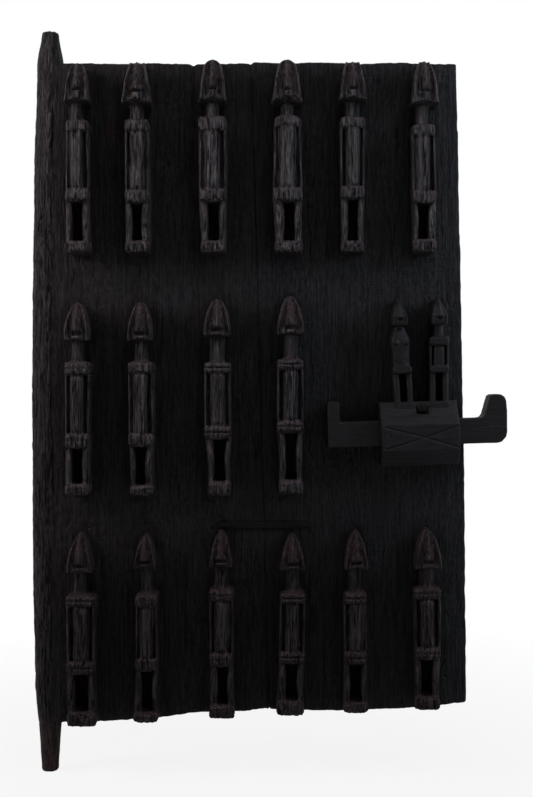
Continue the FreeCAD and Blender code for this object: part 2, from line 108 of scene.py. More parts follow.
def along(table: Sequence[tuple[float, float]], place: float) -> float:
    """Read a value off a table of places and values, straight between its entries.

    Args:
        table: pairs of place and value, by rising place.
        place: where to read.

    Returns:
        The value there.
    """
    before = table[0]
    for entry in table:
        if place <= entry[0]:
            if entry[0] == before[0]:
                return entry[1]
            return mix(before[1], entry[1], (place - before[0]) / (entry[0] - before[0]))
        before = entry
    return before[1]


def roughness(point: Vector, width: float, length: float, seed: float, grain: Vector = UP) -> float:
    """Uneven surface whose lumps are stretched along the grain.

    Args:
        point: place on the piece, in millimetres.
        width: size of a lump across the grain, in millimetres.
        length: size of a lump along the grain, in millimetres.
        seed: number that shifts the pattern.
        grain: direction of the grain.

    Returns:
        A value from about -1 to 1.
    """
    stretch = point.dot(grain)
    place = (point - grain * stretch) / width + grain * (stretch / length)
    return noise.noise(place + Vector((seed * 17.3, seed * 5.1, seed * 9.7)))


@dataclass(frozen=True)
class Mark:
    """One kind of mark or unevenness on a worked surface.

    Sizes are in millimetres: how deep it goes, and its width and its length along the grain. The shift
    is added to the piece's seed, so that two kinds don't lie over each other.
    """

    depth: float
    width: float
    length: float
    shift: float = 0.0
    grain: Vector = UP

    def at(self, point: Vector, seed: float) -> float:
        """Rise or fall of the surface at a point."""
        return self.depth * roughness(point, self.width, self.length, seed + self.shift, self.grain)

    def bite(self, point: Vector, seed: float, limit: float = 0.0) -> float:
        """Depth that is taken out at a point, where the unevenness passes a limit.

        Args:
            point: the point.
            seed: the piece's seed.
            limit: share that leaves the surface whole.

        Returns:
            The depth, never below 0.
        """
        share = roughness(point, self.width, self.length, seed + self.shift, self.grain)
        return self.depth * max(0.0, share - limit)


def uneven(marks: Sequence[Mark], point: Vector, seed: float) -> float:
    """Rise or fall of the surface at a point, from several kinds of marks."""
    return sum(mark.at(point, seed) for mark in marks)


class Carving:
    """Wood or iron under work: members in millimetres that are run together into one surface."""

    def __init__(self) -> None:
        """Start with nothing."""
        self.mesh = bmesh.new()

    def block(self, low: Sequence[float], high: Sequence[float]) -> None:
        """Add a plain block between two corners.

        Args:
            low: lowest corner.
            high: highest corner.
        """
        low, high = Vector(low), Vector(high)
        made = bmesh.ops.create_cube(self.mesh, size=1.0)["verts"]
        bmesh.ops.scale(self.mesh, vec=high - low, verts=made)
        bmesh.ops.translate(self.mesh, vec=(low + high) / 2, verts=made)

    def loft(self, levels: Sequence[Sequence[Sequence[float]]]) -> None:
        """Add a closed form through rings of points.

        Args:
            levels: rings from one end to the other, each a list of as many points.
        """
        ring = [self.mesh.verts.new(point) for point in levels[0]]
        cap = self.mesh.faces.new(ring)
        self.mesh.faces.new([self.mesh.verts.new(point) for point in reversed(levels[0])])
        for level in levels[1:]:
            before = list(cap.verts)
            order = [ring.index(vert) for vert in before]
            grown = bmesh.ops.extrude_face_region(self.mesh, geom=[cap])["geom"]
            cap = next(item for item in grown if isinstance(item, bmesh.types.BMFace))
            moved = list(cap.verts)
            starts = [vert.co.copy() for vert in before]
            fresh: list[bmesh.types.BMVert] = [moved[0]] * len(ring)
            for vert in moved:
                nearest = min(range(len(starts)), key=lambda index: (starts[index] - vert.co).length)
                fresh[order[nearest]] = vert
            for vert, point in zip(fresh, level):
                vert.co = point
            ring = fresh

    def column(self, centre: float, levels: Sequence[tuple[float, float, float]], root: float,
               bulge: float = 0.9, sides: int = 10) -> None:
        """Add an upright member with a half-round front.

        Args:
            centre: place of its middle across.
            levels: height, half width and front's y value, from the foot up.
            root: y value of its back.
            bulge: depth of the round front as a share of the half width.
            sides: faces round the front.
        """
        rings = []
        for height, half, front in levels:
            ring = [(centre + half, root, height), (centre - half, root, height)]
            for side in range(sides + 1):
                turn = math.pi * (1 + side / sides)
                ring.append((centre + half * math.cos(turn),
                             front + half * (1 + math.sin(turn)) * bulge, height))
            rings.append(ring)
        self.loft(rings)

    def boss(self, centre: float, low: float, high: float, half: float, front: float, root: float,
             ease: float = 3.0, arch: float = 0.0, opening: float = 1.0, droop: float = 0.0) -> None:
        """Add a raised band with eased corners and a rounded front edge.

        Args:
            centre: place of its middle across.
            low: height of its lower edge.
            high: height of its upper edge.
            half: half its width.
            front: y value of its face.
            root: y value of its back.
            ease: width of the rounding.
            arch: how far the lower edge rises in the middle.
            opening: half the width of that rise.
            droop: how far both ends hang down.
        """
        middle, tall = (low + high) / 2, (high - low) / 2
        lower, upper = [], []
        for step in (-1.0, -0.9, -0.6, -0.3, 0.0, 0.3, 0.6, 0.9, 1.0):
            corner = ease * (1.1 if abs(step) == 1 else 0.3 if abs(step) == 0.9 else 0.0)
            rise = arch * max(0.0, 1 - (half * step / opening) ** 2) - droop * step * step
            lower.append((half * step, low + corner + rise))
            upper.append((half * step, high - corner - droop * step * step))
        outline = lower + upper[::-1]
        rings = []
        for y, inset in ((root, 0.0), (front + ease, 0.0), (front + 0.35 * ease, 0.3 * ease), (front, ease)):
            rings.append([(centre + x * (1 - inset / half), y, middle + (z - middle) * (1 - inset / tall))
                          for x, z in outline])
        self.loft(rings)

    def plate(self, points: Sequence[tuple[float, float]], low: float, high: float,
              facing: str = "Y") -> list[bmesh.types.BMFace]:
        """Add a plate with a given outline.

        Args:
            points: outline, as x and z for a plate that faces Y, or y and z for one that faces X.
            low: where the plate starts along its axis.
            high: where it ends.
            facing: axis across the plate.

        Returns:
            The plate's faces.
        """
        def spot(pair: tuple[float, float], depth: float) -> tuple[float, float, float]:
            """Place of an outline point at a depth."""
            return (pair[0], depth, pair[1]) if facing == "Y" else (depth, pair[0], pair[1])

        first = self.mesh.faces.new([self.mesh.verts.new(spot(pair, low)) for pair in points])
        grown = bmesh.ops.extrude_face_region(self.mesh, geom=[first])["geom"]
        verts = [item for item in grown if isinstance(item, bmesh.types.BMVert)]
        step = Vector((0, high - low, 0)) if facing == "Y" else Vector((high - low, 0, 0))
        bmesh.ops.translate(self.mesh, vec=step, verts=verts)
        faces = {face for vert in verts for face in vert.link_faces} | {first}
        return list(faces)

    def ease_rim(self, faces: Sequence[bmesh.types.BMFace], depth: float, width: float) -> None:
        """Ease the edges of a plate's outline on the side at a given depth.

        Args:
            faces: the plate's faces.
            depth: y value of the side.
            width: width of the easing.
        """
        rim = [edge for edge in {edge for face in faces for edge in face.edges}
               if all(abs(vert.co.y - depth) < 0.1 for vert in edge.verts)]
        bmesh.ops.bevel(self.mesh, geom=rim, offset=width, offset_type="OFFSET", segments=2,
                        profile=0.5, affect="EDGES", material=-1, clamp_overlap=True)

    def fuse(self, voxel: float, smoothing: int = 1) -> None:
        """Run all members together into one closed surface of small even facets.

        Args:
            voxel: size of a facet.
            smoothing: passes that ease the facets.
        """
        bmesh.ops.recalc_face_normals(self.mesh, faces=self.mesh.faces)
        rough = bpy.data.meshes.new("rough")
        self.mesh.to_mesh(rough)
        holder = bpy.data.objects.new("rough", rough)
        bpy.context.scene.collection.objects.link(holder)
        remesh = holder.modifiers.new("fuse", "REMESH")
        remesh.mode = "VOXEL"
        remesh.voxel_size = voxel
        state = bpy.context.evaluated_depsgraph_get()
        fused = bpy.data.meshes.new_from_object(holder.evaluated_get(state))
        self.mesh.clear()
        self.mesh.from_mesh(fused)
        bpy.data.objects.remove(holder)
        bpy.data.meshes.remove(rough)
        bpy.data.meshes.remove(fused)
        for _ in range(smoothing):
            bmesh.ops.smooth_vert(self.mesh, verts=self.mesh.verts, factor=0.5, use_axis_x=True,
                                  use_axis_y=True, use_axis_z=True)

    def work(self, tool: Callable[[Vector, Vector], Vector]) -> None:
        """Move every point of the surface.

        Args:
            tool: gives the move for a point and its normal.
        """
        self.mesh.normal_update()
        moves = [tool(vert.co, vert.normal) for vert in self.mesh.verts]
        for vert, move in zip(self.mesh.verts, moves):
            vert.co += move

    def place(self, matrix: Matrix) -> None:
        """Move the whole carving."""
        bmesh.ops.transform(self.mesh, matrix=matrix, verts=self.mesh.verts)

    def finish(self, name: str, body: str, nodes: Sequence[str], slot: Slot,
               finish: bpy.types.Material) -> bpy.types.Object:
        """Turn the carving into a piece of the door, kept within the room that the solids take.

        Args:
            name: the piece's name.
            body: the body that it rides on.
            nodes: the frame's nodes that it stands for.
            slot: the record's finish slot; not used.
            finish: the piece's material.

        Returns:
            The new object.
        """
        for vert in self.mesh.verts:
            vert.co = [min(max(part, low), high) for part, low, high in zip(vert.co, ROOM_LOW, ROOM_HIGH)]
        bmesh.ops.scale(self.mesh, vec=Vector((METRES,) * 3), verts=self.mesh.verts)
        bmesh.ops.recalc_face_normals(self.mesh, faces=self.mesh.faces)
        for face in self.mesh.faces:
            face.smooth = True
        data = bpy.data.meshes.new(name)
        self.mesh.to_mesh(data)
        self.mesh.free()
        data.materials.append(finish)
        piece = bpy.data.objects.new(name, data)
        bpy.context.scene.collection.objects.link(piece)
        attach(piece, body)
        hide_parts(*nodes)
        triangles = sum(len(face.vertices) - 2 for face in data.polygons)
        log.info("%s: %d triangles on %s", name, triangles, body)
        return piece


@dataclass(frozen=True)
class Head:
    """Pointed head with a narrow ridge down its front, hollowed facets and raised cheek rims.

    Tables run from the jaw (0) to the tip (1): half widths as shares of the head's own, and depths
    as shares of the relief.
    """

    widths: tuple[tuple[float, float], ...]
    depths: tuple[tuple[float, float], ...]
    ridge: float = 3.0
    hollow: float = 1.0
    nose_end: float = 0.3
    mouth: float = 0.09
    tip_rise: float = 2.0

    def add(self, carving: Carving, low: float, high: float, centre: float, half: float, relief: float,
            nose: float, arch: float, root: float, blunt: float = 0.0) -> None:
        """Add the head to a figure.

        Args:
            carving: the figure's carving.
            low: height of the jaw's corners.
            high: height of the tip.
            centre: place of its middle across.
            half: half its width at the jaw.
            relief: depth of the figure.
            nose: width of the nose's base.
            arch: how far the jaw's lower edge rises in the middle.
            root: y value of the figure's back.
            blunt: least width of the tip, as a share of the head's own.
        """
        end = self.nose_end
        high += self.tip_rise
        tall = high - low
        shares = (0, 0.025, 0.06, 0.11, 0.17, end - self.mouth, end - 1.2 / tall, end, end + 0.06, 0.44, 0.54,
                  0.65, 0.76, 0.85, 0.92, 0.97, 1)
        levels = []
        for share in shares:
            wide = half * max(along(self.widths, share), blunt)
            front = -relief * along(self.depths, share)
            scale = half / 15 * mix(1.0, 0.55, share) * smoothstep(-0.08, 0.2, share)
            rib = min(along(((end, nose / 2), (end + 0.14, 2.9), (0.7, 2.0), (1.0, 1.3)), share), wide * 0.42)
            below = mix(0.2, 1.6, smoothstep(0.04, end - self.mouth, share))
            proud = self.ridge * smoothstep(1.2, 0.85, share) if share >= end else -below
            dip = self.hollow * scale
            half_ring = [(rib * 0.55, front - proud * (0.5 if share >= end else 1.0)),
                         (rib + 0.5, front + 3.0 * dip), (mix(rib, wide, 0.42), front + 4.4 * dip),
                         (mix(rib, wide, 0.6), front + 3.6 * dip), (mix(rib, wide, 0.77), front + 0.4 * dip),
                         (mix(rib, wide, 0.88), front + 0.2), (wide, front + 4.6 * scale + 0.6),
                         (wide * 0.98, front * 0.4), (wide * 0.88, root)]
            ring = [(-x, y) for x, y in reversed(half_ring)] + [(0.0, front - proud)] + half_ring
            lift = arch * smoothstep(0.3, 0.0, share)
            levels.append([(centre + x, y, mix(low, high, share) + lift * (1 - (x / wide) ** 2))
                           for x, y in ring])
        carving.loft(levels)


HEADS = {
    Row.UPPER: Head(((0, 1.05), (0.05, 1.05), (0.13, 0.98), (0.3, 0.92), (0.5, 0.85), (0.7, 0.74),
                     (0.85, 0.63), (0.93, 0.48), (0.97, 0.32), (1, 0.14)),
                    ((0, 0.86), (0.1, 0.9), (0.3, 0.92), (0.5, 0.89), (0.7, 0.81), (0.88, 0.7), (1, 0.6)),
                    nose_end=0.33, mouth=0.045),
    Row.MIDDLE: Head(((0, 0.97), (0.06, 1.0), (0.15, 1.01), (0.3, 0.98), (0.5, 0.89), (0.7, 0.73),
                      (0.82, 0.59), (0.92, 0.42), (0.97, 0.29), (1, 0.17)),
                     ((0, 0.86), (0.08, 0.9), (0.3, 0.92), (0.5, 0.88), (0.7, 0.79), (0.88, 0.64), (1, 0.48)),
                     nose_end=0.25, mouth=0.1),
    Row.LOWER: Head(((0, 1.0), (0.06, 1.03), (0.15, 1.0), (0.33, 0.92), (0.58, 0.76), (0.78, 0.56),
                     (0.9, 0.37), (0.97, 0.21), (1, 0.13)),
                    ((0, 0.86), (0.08, 0.9), (0.3, 0.92), (0.5, 0.87), (0.7, 0.76), (0.88, 0.6), (1, 0.44)),
                    nose_end=0.25, mouth=0.09),
    Row.LOCK: Head(((0, 0.9), (0.06, 1.0), (0.25, 0.99), (0.45, 0.84), (0.7, 0.54), (0.9, 0.24), (1, 0.1)),
                   ((0, 0.84), (0.1, 0.9), (0.33, 0.92), (0.7, 0.76), (1, 0.52)), ridge=2.4, hollow=0.5,
                   nose_end=0.3, mouth=0.08),
}


@dataclass
class CarvedFigure:
    """Standing figure cut from its plank, with its foot at z = 0 and its back at y = 0.

    Sizes are in millimetres. Cuts are shares of the length, from the tip down: jaw, shoulders, torso,
    hips, legs and foot begin there. Widths and centres are those of head, neck, shoulders, torso, hips,
    gap of the legs and foot; centres count from the figure's own place across.
    """

    name: str
    row: Row
    node: str
    across: float
    drop: float
    length: float
    cuts: tuple[float, ...]
    widths: tuple[float, ...]
    centres: tuple[float, ...]
    nose: float
    arch: float
    seed: float
    knees: float = 0.8
    calf: float = 0.3
    droop: float = 0.0
    blunt: float = 0.0
    groove: float = 0.6
    split: float = 0.0
    mouth_depth: float = 3.2
    relief: float = 38.0
    root: float = 4.0
    voxel: float = 1.1
    strokes: tuple[Mark, ...] = (Mark(0.4, 9, 26), Mark(0.45, 2.6, 14, 3))
    flute: Mark = Mark(0.4, 2.3, 26, 5)
    head_grain: Mark = Mark(0.3, 2.0, 14, 11)
    low_split: Mark = Mark(2.6, 2.5, 16, 7)
    high_split: Mark = Mark(1.8, 2.5, 16, 7)
    leg_split: Mark = Mark(1.1, 2.8, 12, 13)
    foot_chip: Mark = Mark(1.8, 3.6, 4.0, 9)
    band_chip: Mark = Mark(0.9, 3.6, 4.0, 9)

    def level(self, index: int) -> float:
        """Height at which the member of a cut's number begins."""
        return self.length * (1 - self.cuts[index])

    def add_legs(self, carving: Carving) -> None:
        """Add the foot block and both legs, whose knees bend forward and inward.

        Args:
            carving: the figure's carving.
        """
        low, high = self.level(5), self.level(4)
        hips, gap, foot = (self.widths[index] / 2 for index in (4, 5, 6))
        middle = self.centres[5]
        steps = ((0.0, -0.5, 0.7), (0.1, 0.2, 0.7), (0.32, 0.8, 0.73), (0.46, 1.0, 0.77), (0.62, 0.7, 0.77),
                 (0.84, 0.1, 0.74), (1.0, -0.4, 0.7))
        for side in (-1, 1):
            levels = []
            for share, knee, deep in steps:
                inner = middle + side * (gap - self.knees * knee)
                outer_low = self.centres[6] + side * (foot - 0.5)
                outer_high = self.centres[4] + side * (hips - 0.3)
                outer = mix(outer_low, outer_high, share) - side * self.calf * math.sin(math.pi * share)
                front = -self.relief * deep
                ring = [(inner, self.root), (outer, self.root), (outer, front * 0.82),
                        (mix(inner, outer, 0.88), front * 0.965), (mix(inner, outer, 0.5), front),
                        (mix(inner, outer, 0.12), front * 0.98), (inner, front * 0.9)]
                levels.append([(x, y, mix(low - 1, high + 1.5, share)) for x, y in ring])
            carving.loft(levels)
        carving.boss(self.centres[6], 0.0, low + 0.6, foot, -self.relief * 0.84, self.root, 3.4)

    def add_trunk(self, carving: Carving) -> None:
        """Add hips, arms, the fluted torso that lies between them, the shoulders and the neck.

        Args:
            carving: the figure's carving.
        """
        head, neck, shoulders, torso, hips, gap, _ = (width / 2 for width in self.widths)
        low, high = self.level(3), self.level(2)
        carving.boss(self.centres[4], self.level(4), low + 0.5, hips, -self.relief * 0.86, self.root, 3.6,
                     arch=-1.4, opening=gap + 2.5)
        carving.boss(self.centres[2], high - 0.5, self.level(1), shoulders, -self.relief * 0.88,
                     self.root, 3.4, arch=1.2, opening=torso + 1.5, droop=self.droop)
        arm = (shoulders + hips) * 0.11
        for side in (-1, 1):
            levels = []
            for height, centre, half in ((low, self.centres[4], hips), (high, self.centres[2], shoulders)):
                outer, inner = centre + side * (half - 0.2), centre + side * (half - 0.2 - arm)
                front = -self.relief * 0.76
                ring = [(inner, self.root), (outer, self.root), (outer, front * 0.9),
                        (mix(outer, inner, 0.3), front), (mix(outer, inner, 0.7), front),
                        (inner, front * 0.95)]
                levels.append([(x, y, height) for x, y in ring])
            carving.loft(levels)
        carving.block((self.centres[3] - min(shoulders, hips) + 1.5, -self.relief * self.groove, low - 1),
                      (self.centres[3] + min(shoulders, hips) - 1.5, self.root, high + 1))
        levels = []
        for share, swell, deep in ((0, 0.95, 0.96), (0.1, 1.0, 1.0), (0.5, 0.97, 0.985), (0.9, 1.02, 1.0),
                                   (1, 0.98, 0.97)):
            wide, front = torso * swell, -self.relief * 0.86 * deep
            right = [(wide * 0.24, front + 0.9), (wide * 0.54, front), (wide * 0.82, front + 1.9),
                     (wide, front + 5.5), (wide, self.root)]
            ring = [(-x, y) for x, y in reversed(right)] + [(0.0, front + 1.1)] + right
            levels.append([(self.centres[3] + x, y, mix(low - 1, high + 1, share)) for x, y in ring])
        carving.loft(levels)
        low, high = self.level(1), self.level(0)
        carving.column(self.centres[1], [(mix(low - 1, high + self.arch + 2, share), neck * swell,
                                          -self.relief * 0.54) for share, swell in
                                         ((0, 1.08), (0.2, 0.98), (0.6, 0.96), (1, 1.02))], self.root)

    def chisel(self, point: Vector, normal: Vector) -> Vector:
        """Tool marks, mouth slit and chipped bands on the fused figure.

        Args:
            point: place on the figure.
            normal: direction of the surface there.

        Returns:
            How far the surface moves.
        """
        x, y, z = point
        seed = self.seed
        cut = uneven(self.strokes, point, seed)
        proud = y < -self.relief * 0.5
        foot, legs, hips, torso = self.level(5), self.level(4), self.level(3), self.level(2)
        shoulders, jaw = self.level(1), self.level(0)
        if not proud:
            return normal * cut
        if hips < z < torso:
            cut += self.flute.at(point, seed)
        chipped = z < foot or legs - 3 < z < hips + 2 or torso - 2 < z < shoulders + 1
        if chipped:
            split = self.low_split if z < hips + 2 else self.high_split
            chip = self.foot_chip if z < foot else self.band_chip
            cut -= split.bite(point, seed, 0.04)
            cut -= chip.bite(point, seed)
        for low, high in ((legs, hips), (torso, shoulders)):
            cut -= self.split * smoothstep(1.5, 0.3, abs(z - mix(low, high, 0.5)))
        if z < legs and not chipped:
            cut -= self.leg_split.bite(point, seed, 0.05)
        if z > jaw:
            cut += self.head_grain.at(point, seed)
        push = 0.0
        height = (z - jaw) / (self.length - jaw)
        shape = HEADS[self.row]
        low, high = shape.nose_end - shape.mouth - 0.03, shape.nose_end - 0.012
        if low < height < high and normal.y < 0.3:
            half = self.nose * 0.5
            push = self.mouth_depth * smoothstep(
                half + 1.2, half - 1.0, abs(x - self.centres[0])) * smoothstep(low, low + 0.05, height)
        return normal * cut + Vector((0, push, 0))

    def build(self, finish: bpy.types.Material) -> bpy.types.Object:
        """Carve the figure and put it on its plank.

        Args:
            finish: the wood's material.

        Returns:
            The figure's object.
        """
        carving = Carving()
        self.add_legs(carving)
        self.add_trunk(carving)
        HEADS[self.row].add(carving, self.level(0), self.length, self.centres[0], self.widths[0] / 2,
                            self.relief, self.nose, self.arch, self.root, self.blunt)
        carving.fuse(self.voxel)
        carving.work(self.chisel)
        carving.place(Matrix.Translation((self.across, FRONT, LEAF_TOP - self.drop - self.length)))
        return carving.finish(self.name, "door", [self.node], Slot.DARK_WOOD, finish)


def figure(name: str, across: float, drop: float, length: float, cuts: tuple[float, ...],
           widths: tuple[float, ...], centres: tuple[float, ...], nose: float, arch: float,
           **details: float) -> CarvedFigure:
    """Figure of the row and column that its name gives.

    Args:
        name: row and column, such as upper_1.
        across: its distance from the pivot axis.
        drop: how far its tip is below the leaf's top edge.
        length: height from foot to tip.
        cuts: shares of the length at which its members begin.
        widths: widths of its members.
        centres: middles of its members.
        nose: width of the nose's base.
        arch: rise of the jaw's lower edge.
        details: sizes of its own.

    Returns:
        The figure.
    """
    row, column = Row(name.split("_")[0]), int(name.split("_")[1])
    node = "hinge_plank" if column < 4 else "lock_plank"
    seed = list(Row).index(row) * 7 + column * 1.37 + 1
    return CarvedFigure(f"figure_{name}", row, node, across, drop, length, cuts, widths, centres, nose, arch,
                        seed, **details)


FIGURES = [
    figure("upper_1", 39.8, 8.5, 222.5, (0.203, 0.298, 0.362, 0.66, 0.727, 0.938),
           (28.7, 13.6, 26.5, 15.2, 28.0, 13.2, 29.8), (-0.7, -3.0, 0.0, -1.2, -0.1, -0.6, -0.1), 8, 3.6,
           blunt=0.4),
    figure("upper_2", 109.8, 7.6, 223.5, (0.218, 0.296, 0.365, 0.669, 0.736, 0.937),
           (34.2, 16.2, 28.4, 18.0, 28.9, 12.0, 29.9), (-0.4, -2.0, -0.2, 0.3, 0.4, -0.2, 0.7), 12, 6.0,
           blunt=0.57),
    figure("upper_3", 198.8, 4, 227, (0.22, 0.293, 0.37, 0.667, 0.735, 0.937),
           (32.0, 15.2, 33.0, 19.6, 33.0, 13.6, 30.2), (0.1, -1.2, 0.0, -0.9, 0.0, 1.2, 1.0), 8, 5.2),
    figure("upper_4", 287.1, 4, 227, (0.226, 0.285, 0.345, 0.662, 0.733, 0.938),
           (34.6, 15.6, 32.0, 22.0, 35.4, 13.0, 33.2), (-0.6, -0.6, -0.3, -0.6, 0.0, 1.8, 1.4), 7, 9.5,
           droop=4.0, calf=0.6),
    figure("upper_5", 363.5, 7, 223.5, (0.203, 0.288, 0.349, 0.652, 0.718, 0.94),
           (31.6, 18.4, 29.8, 17.4, 29.0, 12.2, 27.5), (0.2, 0.0, -0.4, -0.1, -0.2, 0.4, -0.2), 8, 4.0,
           blunt=0.56),
    figure("upper_6", 447, 7, 223.5, (0.221, 0.329, 0.389, 0.675, 0.739, 0.932),
           (31.4, 15.6, 28.0, 17.2, 29.0, 12.4, 28.0), (1.4, -0.4, -0.6, -1.2, 0.9, -0.2, 1.2), 8.0, 3.6,
           blunt=0.42),
    figure("middle_1", 39.8, 291, 225, (0.194, 0.3, 0.374, 0.676, 0.751, 0.942),
           (28.8, 14.6, 30.4, 16.4, 29.0, 13.4, 29.6), (-0.9, -1.8, 0.3, -0.6, -0.2, -0.6, 0.0), 10, 2.0,
           split=0.6),
    figure("middle_2", 114.4, 290, 226.5, (0.196, 0.302, 0.365, 0.677, 0.743, 0.947),
           (28.4, 15.2, 30.0, 17.2, 29.6, 13.6, 28.0), (-1.0, -1.2, 0.0, -0.6, 0.4, -0.6, 1.2), 11, 2.0,
           knees=1.2, calf=1.0),
    figure("middle_3", 204.8, 286.5, 230, (0.188, 0.315, 0.376, 0.642, 0.708, 0.928),
           (31.6, 18.0, 31.0, 17.6, 32.4, 14.0, 26.6), (-0.6, -1.4, -0.6, -0.2, 0.2, 2.0, 2.0), 11.7, 2.5,
           knees=1.0, calf=1.4, split=1.9),
    figure("middle_4", 290, 283, 232, (0.191, 0.311, 0.368, 0.625, 0.684, 0.928),
           (30.8, 17.1, 31.6, 17.8, 31.4, 13.8, 28.4), (0.4, 1.0, 0.0, 0.4, 0.2, 0.9, 1.1), 11, 2.0,
           knees=1.2, calf=1.2, split=1.4),
    figure("lower_1", 43.9, 564, 223.5, (0.193, 0.307, 0.37, 0.656, 0.724, 0.927),
           (29.8, 14.0, 35.0, 18.6, 33.2, 17.0, 34.6), (-1.6, -3.0, 0.0, 0.2, 0.0, 0.4, 1.0), 9, 2.5,
           split=1.2),
    figure("lower_2", 120.8, 564, 219, (0.172, 0.306, 0.382, 0.651, 0.72, 0.946),
           (24.4, 13.4, 25.6, 15.6, 26.6, 13.8, 29.6), (-1.2, -0.4, 0.2, 0.2, 0.4, 0.6, -0.6), 9.5, 2.0),
    figure("lower_3", 209.2, 560.5, 217.5, (0.183, 0.3, 0.366, 0.642, 0.717, 0.929),
           (25.8, 15.6, 28.6, 17.0, 28.4, 12.2, 30.4), (-0.5, -0.9, -0.2, 0.2, 0.0, 1.2, 0.5), 10, 2.5,
           split=0.8),
    figure("lower_4", 291.8, 564, 210.5, (0.191, 0.313, 0.374, 0.64, 0.706, 0.922),
           (28.0, 17.0, 30.5, 16.4, 30.6, 13.8, 32.4), (1.1, 1.9, 1.2, 0.8, 0.0, -0.4, -1.6), 11, 2.0,
           split=1.9),
    figure("lower_5", 366.9, 560.5, 211, (0.202, 0.326, 0.393, 0.657, 0.725, 0.944),
           (27.4, 15.6, 27.4, 17.2, 27.6, 13.8, 29.6), (0.8, -0.4, -0.4, 0.6, 0.0, 0.2, 0.4), 10.5, 2.0,
           split=1.6),
    figure("lower_6", 451.2, 558, 210, (0.212, 0.313, 0.38, 0.648, 0.715, 0.927),
           (31.6, 17.2, 32.0, 17.5, 30.6, 13.8, 30.2), (1.2, 1.0, -0.3, -0.2, 0.6, -0.4, 0.0), 8.6, 2.0,
           split=0.9),
]


@dataclass
class Plank:
    """Hewn plank of the leaf: its outline in front view and how its surface is worked."""

    name: str
    outline: list[tuple[float, float]]
    figures: list[CarvedFigure]
    joint: Callable[[float], float]
    voxel: float = 2.3
    seed: float = 2.0
    halo_reach: float = 15.0
    halo_depth: float = 1.3
    rim_ease: float = 1.3
    rough_bands: tuple[float, ...] = (594.3, 310.3)
    cracks: tuple[tuple[float, float, float, float], ...] = ()
    swell: tuple[Mark, ...] = (Mark(0.5, 42, 120), Mark(0.35, 9, 48, 2))
    adze: tuple[Mark, ...] = (Mark(0.45, 5, 17, 4), Mark(0.25, 13, 5, 6))
    rough_grain: Mark = Mark(0.9, 4.6, 13, 5)
    band_wander: Mark = Mark(10, 50, 50, 8)
    halo_wander: Mark = Mark(0.5, 30, 50)
    scallop: Mark = Mark(1.3, 34, 70, 11)
    back_grain: Mark = Mark(0.3, 6, 16, 12)
    edge_grain: Mark = Mark(0.8, 5, 14, 14)

    def halo(self, x: float, z: float) -> float:
        """How far the ground is cut down round the figures, as a share.

        Args:
            x: distance from the pivot axis.
            z: height.

        Returns:
            1 beside a figure, falling to 0 away from it.
        """
        deepest = 0.0
        for carved in self.figures:
            tip = LEAF_TOP - carved.drop
            foot = tip - carved.length
            if not (foot - 30 < z < tip + 30 and abs(x - carved.across) < 55):
                continue
            share = (z - foot) / carved.length
            half = carved.widths[2] / 2 * (1 if share < 0.8 else mix(1, 0.25, (share - 0.8) / 0.2))
            away = math.hypot(max(abs(x - carved.across) - half, 0), max(foot - z, z - tip, 0))
            reach = self.halo_reach * (1 + self.halo_wander.at(Vector((x, 0, z)), carved.seed))
            deepest = max(deepest, smoothstep(reach, 0.0, away))
        return deepest

    def hew(self, point: Vector, normal: Vector) -> Vector:
        """Adze and chisel marks, lowered ground, cracks and worn ends.

        Args:
            point: place on the plank.
            normal: direction of the surface there.

        Returns:
            How far the surface moves.
        """
        x, y, z = point
        facing = -normal.y
        swell = uneven(self.swell, point, self.seed)
        if facing > 0.4:
            cut = swell + uneven(self.adze, point, self.seed)
            for band in self.rough_bands:
                closeness = smoothstep(34, 8, abs(z - band + self.band_wander.at(point, self.seed)))
                if closeness:
                    cut += closeness * self.rough_grain.at(point, self.seed)
            sunk = -self.halo_depth * self.halo(x, z) * facing
            for centre, top, foot, wide in self.cracks:
                line = centre + 2.5 * noise.noise(Vector((z / 45, centre, 0)))
                if foot < z < top and abs(x - line) < 4:
                    sunk -= wide * smoothstep(foot, foot + 60, z) * smoothstep(3.2, 0.6, abs(x - line))
            return normal * (cut + sunk) * smoothstep(0.3, 5.0, abs(x - self.joint(z)))
        if facing < -0.4:
            scallop = self.scallop.at(point, self.seed)
            return normal * (min(swell + scallop, 0.0) + self.back_grain.at(point, self.seed))
        if abs(x - self.joint(z)) < 3:
            return Vector((0, 0, 0))
        return normal * (self.edge_grain.at(point, self.seed) + swell * 0.8)

    def build(self, finish: bpy.types.Material, figure_finishes: dict[Row, bpy.types.Material]) -> None:
        """Hew the plank and carve its figures.

        Args:
            finish: the plank's material.
            figure_finishes: the figures' materials by row.
        """
        carving = Carving()
        faces = carving.plate(self.outline, FRONT, BACK)
        carving.ease_rim(faces, FRONT, self.rim_ease)
        carving.fuse(self.voxel)
        carving.work(self.hew)
        carving.finish(f"{self.name}_ground", "door", [self.name], Slot.DARK_WOOD, finish)
        for carved in self.figures:
            carved.build(figure_finishes[carved.row])


